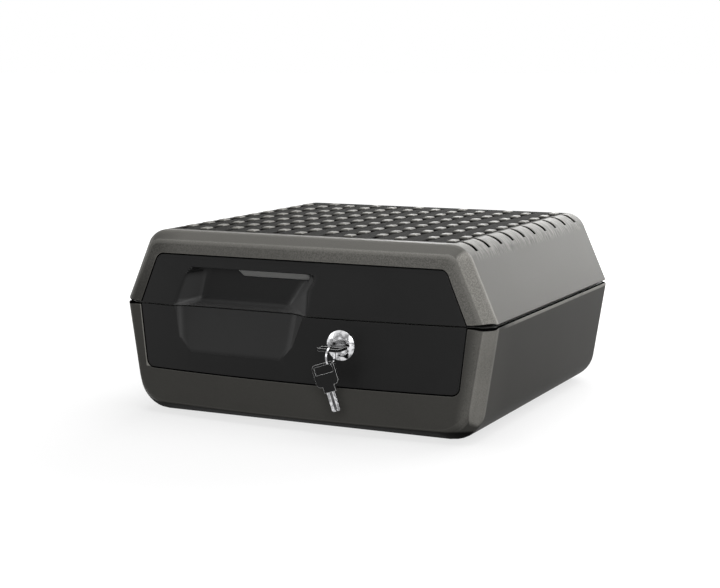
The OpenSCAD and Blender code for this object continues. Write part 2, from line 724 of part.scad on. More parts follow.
// Bracket and axle
bracket_screw_x = [latch_ends[0] - bracket_foot / 2 - 1, latch_ends[1] + bracket_foot / 2 + 1];
bracket_screw_in = 10;
bracket_screw_y = latch_back - bracket_screw_in;
rim_screw_l = steel_t + rim_t - 0.2;
module latch_bracket() color([0.6, 0.6, 0.62]) move_to_frame() difference() {
    union() {
        box([latch_ends[0] - steel_t, latch_ends[1] + steel_t], [bracket_y, bracket_y + steel_t],
            [latch_z - bracket_down, latch_z + bracket_up]);
        for (x = [latch_ends[0] - steel_t, latch_ends[1]])
            box([x, x + steel_t], [latch_y - bracket_up, bracket_y + steel_t],
                [lid_rim, latch_z + bracket_up]);
        for (x = [latch_ends[0] - bracket_foot - steel_t, latch_ends[1]])
            box([x, x + bracket_foot + steel_t], [bracket_feet_y, bracket_y + steel_t],
                [lid_rim, lid_rim + steel_t]);
    }
    rod_x(latch_axle_r + run_gap, latch_y, latch_z, [-far, far]);
    for (x = bracket_screw_x) translate([x, bracket_screw_y, lid_low]) cylinder(r = screw_r + 0.1, h = 12);
}
module bracket_screws() color([0.66, 0.66, 0.68]) move_to_frame() for (x = bracket_screw_x)
    translate([x, bracket_screw_y, lid_rim + steel_t]) screw(screw_r, rim_screw_l);
axle_head = 1.5;
module latch_axle() color([0.74, 0.74, 0.76]) move_to_frame() {
    rod_x(latch_axle_r, latch_y, latch_z, [latch_ends[0] - steel_t - 1, latch_ends[1] + steel_t + 1]);
    for (x = [latch_ends[0] - steel_t - axle_head, latch_ends[1] + steel_t])
        rod_x(latch_axle_r + axle_head, latch_y, latch_z, [x, x + axle_head]);
}

// Keeper in the lid, behind which the cam turns
keeper_top = [keeper_x - 8, keeper_x + 18];
keeper_y = [cam_y - 4.4, cam_back + 5];
keeper_screw_x = [keeper_x - 3, keeper_x + 14];
keeper_screw_y = cam_back;
module cam_keeper() color([0.6, 0.6, 0.62]) move_to_frame() difference() {
    union() {
        box(keeper_top, keeper_y, [lid_low - steel_t, lid_low]);
        box([keeper_x, keeper_x + steel_t], [keeper_y[0], cam_back + 1], [keeper_z - steel_t, lid_low]);
        box([lock_x + barrel_r + 1, keeper_x + steel_t], [keeper_y[0], cam_back + 1],
            [keeper_z - steel_t, keeper_z]);
    }
    for (x = keeper_screw_x) translate([x, keeper_screw_y, parting_h - 5]) cylinder(r = screw_r + 0.1, h = 9);
}
module keeper_screws() color([0.66, 0.66, 0.68]) move_to_frame() for (x = keeper_screw_x)
    translate([x, keeper_screw_y, lid_low - steel_t]) rotate([180, 0, 0]) screw(screw_r, rim_screw_l);

// Lever, hooks and spring
spring_turns = 8;
spring_pitch = 1.1;
spring_in = 34;
spring_room = 12;
spring_x = [lever_left + spring_in, lever_left + spring_in + spring_room];
module latch_lever() color([0.36, 0.36, 0.36]) move_to_frame() difference() {
    union() {
        side_plate([[lip_y, plate_top - lip_t], [lip_back, lip_low], [lip_back + lip_t, lip_low],
            [lip_back + 2 * lip_t, plate_low], [plate_back, plate_low], [plate_back, plate_top],
            [lip_y + 1, plate_top - 0.4]], lever_left, lever_right);
        side_plate([[plate_back - 1, plate_low], [latch_y, plate_low],
            [latch_y, plate_top], [plate_back - 1, plate_top]], hub[0], hub[1]);
        rod_x(hub_r, latch_y, latch_z, hub);
    }
    box(spring_x, [plate_back + 1, near], [0, far]);
    rod_x(latch_axle_r + run_gap, latch_y, latch_z, [-far, far]);
}
module latch_hooks() color([0.62, 0.62, 0.64]) move_to_frame() difference() {
    for (x = [hook_left, hook_right - steel_t]) {
        rod_x(hub_r, latch_y, latch_z, [x, x + steel_t]);
        side_plate([[latch_front + 3, plate_low], [latch_front + 3, plate_low - 3],
            [latch_y - 3, plate_low - 9], [latch_y - 3, hook_low], [latch_y + 3, hook_low],
            [nose_y, hook_low + 3], [nose_y, hook_low + nose_t], [latch_y + 3, hook_low + nose_t],
            [latch_y + 3, latch_z], [latch_y - 3, latch_z], [latch_y - 3, plate_low]],
            x, x + steel_t);
    }
    rod_x(latch_axle_r + run_gap, latch_y, latch_z, [-far, far]);
}
module latch_spring() color([0.7, 0.7, 0.72]) move_to_frame() {
    first = spring_x[0] + 1.5;
    last = first + spring_pitch * (spring_turns - 1);
    translate([first, latch_y, latch_z]) rotate([0, 90, 0]) rotate_extrude($fn = 40)
        for (k = [0:spring_turns - 1])
            translate([spring_r, spring_pitch * k]) circle(r = spring_wire, $fn = 16);
    rod_y(spring_wire, first, latch_z - spring_r, [latch_front + 4, latch_y]);
    rod_y(spring_wire, last, latch_z + spring_r, [latch_y, bracket_y - 1.2]);
}

base_shell();
base_fill();
base_liner();
base_panel();
rim_seal();
strike_plate();
strike_screws();
lock_housing();
lock_nut();
base_hinges();
hinge_pins();
base_hinge_screws();
rubber_feet();
lid_shell();
lid_fill();
lid_liner();
lid_panel();
lid_hinges();
lid_hinge_screws();
latch_bracket();
bracket_screws();
latch_axle();
cam_keeper();
keeper_screws();
latch_lever();
latch_hooks();
latch_spring();
lock_plug();
lock_cam();
cam_screw();
lock_key_blade();
lock_key_bow();
split_ring();
spare_key_blade();
spare_key_bow();
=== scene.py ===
"""Dresses the fire chest's frame: moulded shells, tread, panels, latch, lock, keys and studio.

All lengths are in metres. X is across the chest, measured from its middle; Y is measured from the
plane of the front corners and turned into the row frame by place(); Z is the height above the floor.
"""

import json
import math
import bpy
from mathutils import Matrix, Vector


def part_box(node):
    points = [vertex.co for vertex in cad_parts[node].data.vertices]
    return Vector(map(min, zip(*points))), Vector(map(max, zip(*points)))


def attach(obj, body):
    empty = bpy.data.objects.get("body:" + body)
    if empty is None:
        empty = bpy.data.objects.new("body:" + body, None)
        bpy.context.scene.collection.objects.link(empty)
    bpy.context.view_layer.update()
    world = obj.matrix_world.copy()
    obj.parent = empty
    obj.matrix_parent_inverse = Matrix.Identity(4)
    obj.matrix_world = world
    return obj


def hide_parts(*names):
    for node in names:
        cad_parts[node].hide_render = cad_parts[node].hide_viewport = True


bl_info = {
    "name": "Fire chest",
    "version": (1, 0, 0),
    "blender": (4, 5, 0),
    "location": "3D view > Sidebar > Fire chest",
    "description": "Models and finishes the pieces of a fire chest round its frame",
    "category": "Object",
}

from contextlib import contextmanager

import bmesh
import bpy
from bpy.props import (FloatProperty, FloatVectorProperty, IntProperty, PointerProperty)
from mathutils import Matrix, Vector

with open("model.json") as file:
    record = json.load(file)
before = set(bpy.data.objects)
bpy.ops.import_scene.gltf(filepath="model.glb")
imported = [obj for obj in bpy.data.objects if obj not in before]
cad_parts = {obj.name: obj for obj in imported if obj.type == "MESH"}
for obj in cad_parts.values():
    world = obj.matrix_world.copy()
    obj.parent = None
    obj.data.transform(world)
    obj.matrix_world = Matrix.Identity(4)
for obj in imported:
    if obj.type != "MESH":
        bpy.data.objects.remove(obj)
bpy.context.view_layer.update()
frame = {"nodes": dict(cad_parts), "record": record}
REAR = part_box("base_shell")[1].y
MM = 0.001
TINY = 0.00005
ACROSS, ALONG, UP = Vector((1, 0, 0)), Vector((0, 1, 0)), Vector((0, 0, 1))
SLOTS = {part["node"]: part["material_slot"] for part in frame["record"]["subparts"]}
BODIES = {node: body for body, nodes in frame["record"]["behaviour"]["bodies"].items() for node in nodes}


# Sizes and colours that a user would change


def length(name, description, mm):
    return FloatProperty(name=name, description=description, default=mm * MM, unit="LENGTH", precision=5)


def tilt(name, description, degrees):
    return FloatProperty(
        name=name, description=description, default=math.radians(degrees), subtype="ANGLE"
    )


def share(name, description, value):
    return FloatProperty(
        name=name, description=description, default=value, min=0, max=1, subtype="FACTOR"
    )


def paint(name, description, *colour):
    return FloatVectorProperty(
        name=name, description=description, default=colour, size=3, min=0, max=1, subtype="COLOR"
    )


def power(name, description, watts):
    return FloatProperty(name=name, description=description, default=watts, unit="POWER")


class ShellSizes(bpy.types.PropertyGroup):
    """Sizes of the two moulded shells."""

    width: length("Width", "Width across both sides at the parting line", 391)
    depth: length("Depth", "Depth from the front corners to the rear face", 342)
    parting: length("Parting line", "Height of the parting line above the floor", 107.5)
    lid: length("Lid height", "Height of the lid's flat top above the parting line", 71)
    gap: length("Parting gap", "Gap between the two halves", 2.4)
    foot: length("Foot height", "Height of the shell above the floor", 1.5)
    lid_lean: tilt("Lid lean", "Lean of the lid's sides from vertical", 23.9)
    base_lean: tilt("Base lean", "Lean of the base's sides from vertical", 9.1)
    lid_round: length("Lid round", "Radius along the lid's long upper edges", 20)
    base_round: length("Base round", "Radius along the base's long lower edges", 30)
    edge_cut: length("Edge cut", "Width of the flat cut round the front and rear faces", 9.4)
    edge_run: length("Edge run", "Run of that cut along the sides", 12.3)
    bow: length("Front bow", "How far the front bows out at its middle", 13.5)
    wall: length("Wall", "Wall of both shells", 3.5)
    front_wall: length("Front wall", "Wall behind the front panels", 7)
    soft: length("Soft edge", "Width of the rounding on the moulded edges", 2.4)
    rim: length("Rim edge", "Width of the rounding along the parting line", 1.5)


class TreadSizes(bpy.types.PropertyGroup):
    """Sizes of the lid's tread and of the slots over its edges."""

    rows: IntProperty(name="Rows", description="Rows of raised pads from front to back", default=19)
    cols: IntProperty(name="Columns", description="Columns of raised pads from side to side", default=12)
    row_pitch: length("Row pitch", "Spacing of the rows", 15.2)
    col_pitch: length("Column pitch", "Spacing of the columns", 26)
    pad_w: length("Pad width", "Length of a pad from side to side, at its foot", 8.4)
    pad_l: length("Pad depth", "Length of a pad from front to back, at its foot", 12.4)
    pad_h: length("Pad height", "Height of a pad above the lid's flat top", 1.5)
    dip_rim: length("Dip rim", "How far the dips between the pads are smaller than the pads", 1.2)
    dip: length("Dip", "Depth of a dip below the flat top", 1.4)
    slot_w: length("Slot width", "Width of the slots that wrap over the side edges", 6.4)
    slot: length("Slot depth", "Depth of those slots", 2.8)


class PanelSizes(bpy.types.PropertyGroup):
    """Sizes of the two front panels, which share one outline."""

    half: length("Half width", "Half width of the panels at the parting line", 171.9)
    top_half: length("Top half width", "Half width of the lid's panel at its top edge", 151)
    low_half: length("Lower half width", "Half width of the base's panel at its lower edge", 164.7)
    up: length("Rise", "Height of the panels' top edge above the parting line", 49.8)
    down: length("Drop", "Height of the panels' lower edge below the parting line", 63.1)
    corner: length("Corner radius", "Corner radius of the panels", 8)
    thick: length("Thickness", "Thickness of the panels", 3)
    inset: length("Inset", "How far the panels lie below the face round them", 0.6)
    fit: length("Fit", "Gap between a panel's edge and its recess", 1)
    split: length("Split", "Gap between each panel's edge and the parting line", 0.5)
    lip: length("Recess lip", "Width of the rounding on the recess's edge", 0.8)


class PocketSizes(bpy.types.PropertyGroup):
    """Sizes of the finger pocket in the lid's panel and of the scoop below it."""

    left: length("Left", "Left end of the pocket's back wall", -101.4)
    right: length("Right", "Right end of the pocket's back wall", 8)
    up: length("Top", "Height of the pocket's upper edge above the parting line", 38)
    back: length("Back", "Distance of the back wall from the front corners' plane", 12)
    sill: length("Sill", "Height of the back wall's lower edge above the parting line", 5.5)
    scoop: length("Scoop", "Depth of the scoop below the parting line", 43)
    wall: length("Wall", "Wall of the pocket and the scoop", 2.2)
    soft: length("Soft corners", "Radius where the pocket's walls meet", 5)
    corner: length("Upper corners", "Radius of the pocket's upper corners", 7)
    rim: length("Soft rim", "Width of the rounding where the walls meet the panel", 1.6)


class LockSizes(bpy.types.PropertyGroup):
    """Sizes of the lock's visible parts."""

    x: length("Offset", "Distance of the lock from the middle of the chest", 52.4)
    down: length("Drop", "Distance of the lock below the parting line", 23.4)
    flange: length("Flange radius", "Radius of the lock's flange", 14)
    dome: length("Dome", "Rise of the flange from its rim to the plug", 1.8)
    barrel: length("Barrel radius", "Radius of the barrel behind the flange", 9.5)
    hang: tilt("Spare key", "Lean of the spare key from vertical", 19.1)


class Colours(bpy.types.PropertyGroup):
    """Colours of the finishes."""

    shell: paint("Shell", "Grained charcoal plastic of both shells", 0.072, 0.07, 0.0645)
    panel: paint("Panel", "Satin black plastic of the front panels", 0.0105, 0.0105, 0.0105)
    lever: paint("Lever", "Grey plastic of the latch lever", 0.37, 0.37, 0.36)
    liner: paint("Liner", "Grey plastic of the two trays", 0.27, 0.27, 0.26)
    fill: paint("Filling", "Cast insulation", 0.6, 0.58, 0.54)
    key: paint("Key bow", "Black plastic of the key bows", 0.012, 0.012, 0.012)
    chrome: paint("Chrome", "Polished plating of lock, keys and ring", 0.55, 0.55, 0.56)
    steel: paint("Steel", "Satin plating of the hidden steel parts", 0.56, 0.56, 0.57)
    hinge: paint("Hinge paint", "Satin black paint of the hinges", 0.03, 0.03, 0.03)
    rubber: paint("Rubber", "Matt black rubber of the feet and the seal", 0.02, 0.02, 0.02)
    floor: paint("Floor", "Pale floor of the studio", 0.2, 0.2, 0.2)


class Studio(bpy.types.PropertyGroup):
    """Camera and lamps."""

    eye: FloatVectorProperty(
        name="Camera place", description="Place of the camera, measured from the front corners' plane",
        default=(0.6888, -1.2666, 0.3425), unit="LENGTH", precision=4,
    )
    lens: FloatProperty(
        name="Lens", description="Focal length of the camera", default=78.536, unit="CAMERA"
    )
    yaw: tilt("Turn", "Turn of the camera to the chest's right", 26.19)
    pitch: tilt("Pitch", "Tilt of the camera downwards", 8.543)
    roll: tilt("Roll", "Roll of the camera", -0.199)
    top: power("Top lamp", "Power of the lamp over the chest", 30)
    rear: power("Rear lamp", "Power of the lamp at the rear right", 60)
    right: power("Right lamp", "Power of the lamp at the front right", 16)
    left: power("Left lamp", "Power of the lamp at the left", 5)
    sky: share("Sky", "Strength of the even light from all round", 0.14)


def group(kind, name):
    return PointerProperty(type=kind, name=name, description=kind.__doc__)


class Chest(bpy.types.PropertyGroup):
    """All settings of the fire chest."""

    shell: group(ShellSizes, "Shells")
    tread: group(TreadSizes, "Tread")
    panel: group(PanelSizes, "Panels")
    pocket: group(PocketSizes, "Pocket")
    lock: group(LockSizes, "Lock")
    colours: group(Colours, "Colours")
    studio: group(Studio, "Studio")


def chest():
    return bpy.context.scene.chest


def place(x, y, z):
    """A point measured from the front corners' plane, in the row frame."""
    return Vector((x, REAR - chest().shell.depth + y, z))


# Handwork on one piece at a time


def alone(piece):
    """Makes piece the one that is selected and active."""
    bpy.ops.object.select_all(action="DESELECT")
    piece.select_set(True)
    bpy.context.view_layer.objects.active = piece


def new_piece(name, add, **settings):
    """Adds a primitive, names it and moves its place into its mesh."""
    bpy.ops.object.select_all(action="DESELECT")
    add(**settings)
    piece = bpy.context.active_object
    piece.name = piece.data.name = name
    bpy.ops.object.transform_apply(location=True, rotation=True, scale=True)
    return piece


def block(name, x, y, z):
    """A box from its limits along the three axes."""
    low, high = place(x[0], y[0], z[0]), place(x[1], y[1], z[1])
    cube = bpy.ops.mesh.primitive_cube_add
    return new_piece(name, cube, size=1, location=(low + high) / 2, scale=high - low)


def rod(name, radius, start, axis, reach, vertices=96):
    """A cylinder from start along an axis."""
    return new_piece(
        name, bpy.ops.mesh.primitive_cylinder_add, vertices=vertices, radius=radius, depth=reach,
        location=start + axis * reach / 2, rotation=axis.to_track_quat("Z", "Y").to_euler(),
    )


@contextmanager
def editing(piece):
    alone(piece)
    bpy.ops.object.mode_set(mode="EDIT")
    bpy.ops.mesh.select_all(action="DESELECT")
    yield
    bpy.ops.object.mode_set(mode="OBJECT")


def pick(piece, kind, test):
    """Selects the verts, edges or faces that pass the test, and returns how many."""
    bpy.ops.mesh.select_mode(type={"verts": "VERT", "edges": "EDGE", "faces": "FACE"}[kind])
    bpy.ops.mesh.select_all(action="DESELECT")
    shape = bmesh.from_edit_mesh(piece.data)
    shape.normal_update()
    found = [part for part in getattr(shape, kind) if test(part)]
    for part in found:
        part.select_set(True)
    shape.select_flush_mode()
    bmesh.update_edit_mesh(piece.data)
    return len(found)


def middle(face):
    return face.calc_center_median()


def at_height(part, z):
    """True for an edge or a face that lies at a height."""
    return all(abs(v.co.z - z) < TINY for v in part.verts)


def span(edge, axis):
    """How far an edge runs along an axis."""
    return abs(edge.verts[0].co[axis] - edge.verts[1].co[axis])


def trim(piece, *cuts):
    """Cuts away what lies beyond each plane, given by a point and a normal, and closes the cut."""
    with editing(piece):
        for point, normal in cuts:
            bpy.ops.mesh.select_all(action="SELECT")
            bpy.ops.mesh.bisect(plane_co=point, plane_no=normal, use_fill=True, clear_outer=True)


def score(piece, test, cuts):
    """Cuts edges along planes into the faces that pass the test."""
    with editing(piece):
        for point, normal in cuts:
            if pick(piece, "faces", test):
                bpy.ops.mesh.bisect(plane_co=point, plane_no=normal)


def shift(piece, test, by):
    """Moves the vertices that pass the test."""
    if pick(piece, "verts", test):
        bpy.ops.transform.translate(value=by)


def pull(piece, here, there):
    """Moves the vertex at one place to another."""
    shift(piece, lambda v: (v.co - here).length < TINY / 2, there - here)


def inset(piece, test, *steps, single=False):
    """Insets the faces that pass the test, once for each (width, rise)."""
    if pick(piece, "faces", test):
        for width, rise in steps:
            bpy.ops.mesh.inset(thickness=width, depth=rise, use_even_offset=True, use_individual=single)


def markable(piece):
    """Gives piece two empty material slots, so that a rounding can be told from the rest by its index."""
    while len(piece.data.materials) < 2:
        piece.data.materials.append(None)


def bevel(width, steps, material=-1):
    """Rounds the edges that are picked."""
    bpy.ops.mesh.bevel(
        offset=width, offset_type="OFFSET", segments=steps, profile=0.5, affect="EDGES",
        clamp_overlap=False, material=material,
    )


def soften_edges(piece, test, width, steps=3):
    """Rounds the edges that pass the test, and marks the rounding."""
    markable(piece)
    with editing(piece):
        if pick(piece, "edges", test):
            bevel(width, steps, 1)


def apply(piece, kind, **settings):
    """Adds a modifier and applies it."""
    alone(piece)
    modifier = piece.modifiers.new(kind.title(), kind)
    for name, value in settings.items():
        setattr(modifier, name, value)
    bpy.ops.object.modifier_apply(modifier=modifier.name)


def soften(piece, width, steps=3, limit=30, clamp=True):
    """Rounds every edge sharper than limit degrees."""
    markable(piece)
    apply(
        piece, "BEVEL", width=width, segments=steps,
        limit_method="ANGLE", angle_limit=math.radians(limit),
        use_clamp_overlap=clamp, miter_outer="MITER_ARC", material=1,
    )


def carve(piece, *tools, how="DIFFERENCE"):
    """Takes the tools out of piece, or joins them, or keeps what they share, and scraps them."""
    for tool in tools:
        apply(piece, "BOOLEAN", object=tool, operation=how, solver="EXACT")
        mesh = tool.data
        bpy.data.objects.remove(tool)
        bpy.data.meshes.remove(mesh)


def convex(edge, least):
    """True for an outer edge that turns by more than least degrees."""
    return edge.is_manifold and edge.calc_face_angle_signed(0) > math.radians(least)


def mark(piece, name, test):
    """Keeps which faces pass the test as an attribute, for the finish."""
    values = [float(test(face)) for face in piece.data.polygons]
    piece.data.attributes.new(name, "FLOAT", "FACE").data.foreach_set("value", values)


def ready(piece, node, smooth=32):
    """Gives a finished piece the finish, the body and the slot of the node that it stands for.
    The roundings are kept as the attribute "edge", for the painted highlights along them."""
    mesh, body, slot = piece.data, BODIES[node], SLOTS[node]
    mark(piece, "edge", lambda face: face.material_index == 1)
    mesh.materials.clear()
    mesh.materials.append(finish(slot))
    mesh.polygons.foreach_set("material_index", [0] * len(mesh.polygons))
    alone(piece)
    bpy.ops.object.shade_smooth_by_angle(angle=math.radians(smooth))
    apply(piece, "TRIANGULATE", min_vertices=5)
    apply(piece, "WEIGHTED_NORMAL", keep_sharp=True)
    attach(piece, body)
    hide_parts(node)


def merged(node, name):
    """A copy of a CAD node as one clean mesh with flat faces in one piece."""
    piece = bpy.data.objects.new(name, frame["nodes"][node].data.copy())
    bpy.context.scene.collection.objects.link(piece)
    with editing(piece):
        bpy.ops.mesh.select_all(action="SELECT")
        bpy.ops.mesh.customdata_custom_splitnormals_clear()
        bpy.ops.mesh.remove_doubles(threshold=2e-6)
        bpy.ops.mesh.dissolve_limited(angle_limit=math.radians(0.4))
    return piece


# Finishes


def calculation(operation, swapped=False):
    """A Python operator that adds a Math node."""

    def act(term, other):
        return term.nodes.math(operation, *((other, term) if swapped else (term, other)))

    return act


class Term:
    """A number that varies over a surface. Python's operators add the Math nodes."""

    def __init__(self, nodes, socket):
        self.nodes, self.socket = nodes, socket

    __add__ = __radd__ = calculation("ADD")
    __mul__ = __rmul__ = calculation("MULTIPLY")
    __sub__ = calculation("SUBTRACT")
    __rsub__ = calculation("SUBTRACT", swapped=True)
    __truediv__ = calculation("DIVIDE")
    __gt__ = calculation("GREATER_THAN")
    __lt__ = calculation("LESS_THAN")


class Nodes:
    """The nodes of a material or a world."""

    def __init__(self, owner):
        owner.use_nodes = True
        self.tree = owner.node_tree
        self.tree.nodes.clear()

    def node(self, kind, sockets=None, **settings):
        """Adds a node with its settings, and the values or links of its sockets."""
        made = self.tree.nodes.new("ShaderNode" + kind)
        for name, value in settings.items():
            setattr(made, name, value)
        for name, value in (sockets or {}).items():
            value = getattr(value, "socket", value)
            if isinstance(value, bpy.types.NodeSocket):
                self.tree.links.new(value, made.inputs[name])
            else:
                made.inputs[name].default_value = value
        return made

    def term(self, kind, sockets, output=0, **settings):
        return Term(self, self.node(kind, sockets, **settings).outputs[output])

    def math(self, operation, *values):
        return self.term("Math", dict(enumerate(values)), operation=operation)

    def most(self, *values):
        """The largest of some values."""
        first, *others = values
        for other in others:
            first = self.math("MAXIMUM", first, other)
        return first

    def ramp(self, value, low, high):
        """0 below low and 1 above high."""
        sockets = {"Value": value, "From Min": low, "From Max": high}
        return self.term("MapRange", sockets, interpolation_type="SMOOTHSTEP")

    def seen(self):
        """1 for rays from the camera, a reflection or glass."""
        rays = self.node("LightPath").outputs
        return self.most(*(rays[f"Is {kind} Ray"] for kind in ("Camera", "Glossy", "Transmission")))

    def end(self, kind, shader):
        self.node(kind, {"Surface": shader.outputs[0]})


class Finish(Nodes):
    """One material and its shade so far, which begins as its colour."""

    def __init__(self, name, colour):
        self.material = bpy.data.materials.new(name)
        super().__init__(self.material)
        self.colour = self.shade = colour
        self.where = self.node("TexCoord").outputs["Object"]

    def texture(self, kind, size, stretch=(1, 1, 1), sockets=None, **settings):
        """A texture with features of a given size."""
        where = self.node("Mapping", {"Vector": self.where, "Scale": [k / size for k in stretch]})
        return self.term(kind, {"Vector": where.outputs[0], "Scale": 1, **(sockets or {})}, **settings)

    def noise(self, size, detail=2, stretch=(1, 1, 1)):
        return self.texture("TexNoise", size, stretch, {"Detail": detail, "Roughness": 0.55})

    def axes(self):
        """The place along X, Y and Z."""
        split = self.node("SeparateXYZ", {0: self.where})
        return (Term(self, socket) for socket in split.outputs)

    def marked(self, name):
        """1 on the faces that carry a mark: on roundings, for painted highlights, and in grooves, for
        painted shade.
        """
        return self.term("Attribute", {}, "Fac", attribute_name=name)

    def over(self, value, low, high):
        """0 at a length of low millimetres and 1 at one of high."""
        return self.ramp(value, low * MM, high * MM)

    def blend(self, factor, first, second):
        """From one colour to another."""
        sockets = {0: factor, 6: four(first), 7: four(second)}
        return self.node("Mix", sockets, data_type="RGBA").outputs[2]

    def vary(self, factor, low, high):
        """Starts the shade: between two tones of the colour."""
        self.shade = self.blend(factor, shaded(self.colour, low), shaded(self.colour, high))

    def lay(self, *layers):
        """Lays tones of the colour over the shade, each where its factor is 1."""
        for factor, tone in layers:
            self.shade = self.blend(factor, self.shade, shaded(self.colour, tone))

    def surface(self, roughness, height, relief, painted_shadow=None, **fixed):
        """Ends the material. Fixed values go on the shader's own sockets, and a painted shadow turns the
        surface near black in the gaps where the fourth argument is 1."""
        bump = self.node("Bump", {"Height": height, "Distance": relief}).outputs[0]
        sockets = {"Base Color": four(self.shade), "Roughness": roughness, "Normal": bump}
        sockets.update({name.replace("_", " "): value for name, value in fixed.items()})
        shader = self.node("BsdfPrincipled", sockets)
        if painted_shadow is not None:
            # the painted shadow: a near-black matt shader mixed in
            dark = self.node("BsdfDiffuse", {"Color": (0.002, 0.002, 0.002, 1)})
            shader = self.node("MixShader", {0: painted_shadow, 1: shader.outputs[0], 2: dark.outputs[0]})
        self.end("OutputMaterial", shader)
        return self.material


def four(colour):
    """A colour with its alpha. A socket stays as it is."""
    return colour if isinstance(colour, bpy.types.NodeSocket) else (*colour, 1)


def shaded(colour, by):
    return tuple(min(1, c * by) for c in colour)


def front_face(f, wide, upper):
    """Depth of the bowed front face at a place across it and a height above the parting line."""
    s, up = chest().shell, chest().panel.up
    risen = f.math("MINIMUM", upper / up, 0.97)
    corner = half_at(True, s.edge_cut, s.parting + up)
    fan = f.most((wide - risen * corner) / (1 - risen), 0.0) / (s.width / 2 - s.edge_cut)
    return (fan * fan - 1) * s.bow * (1 - risen)


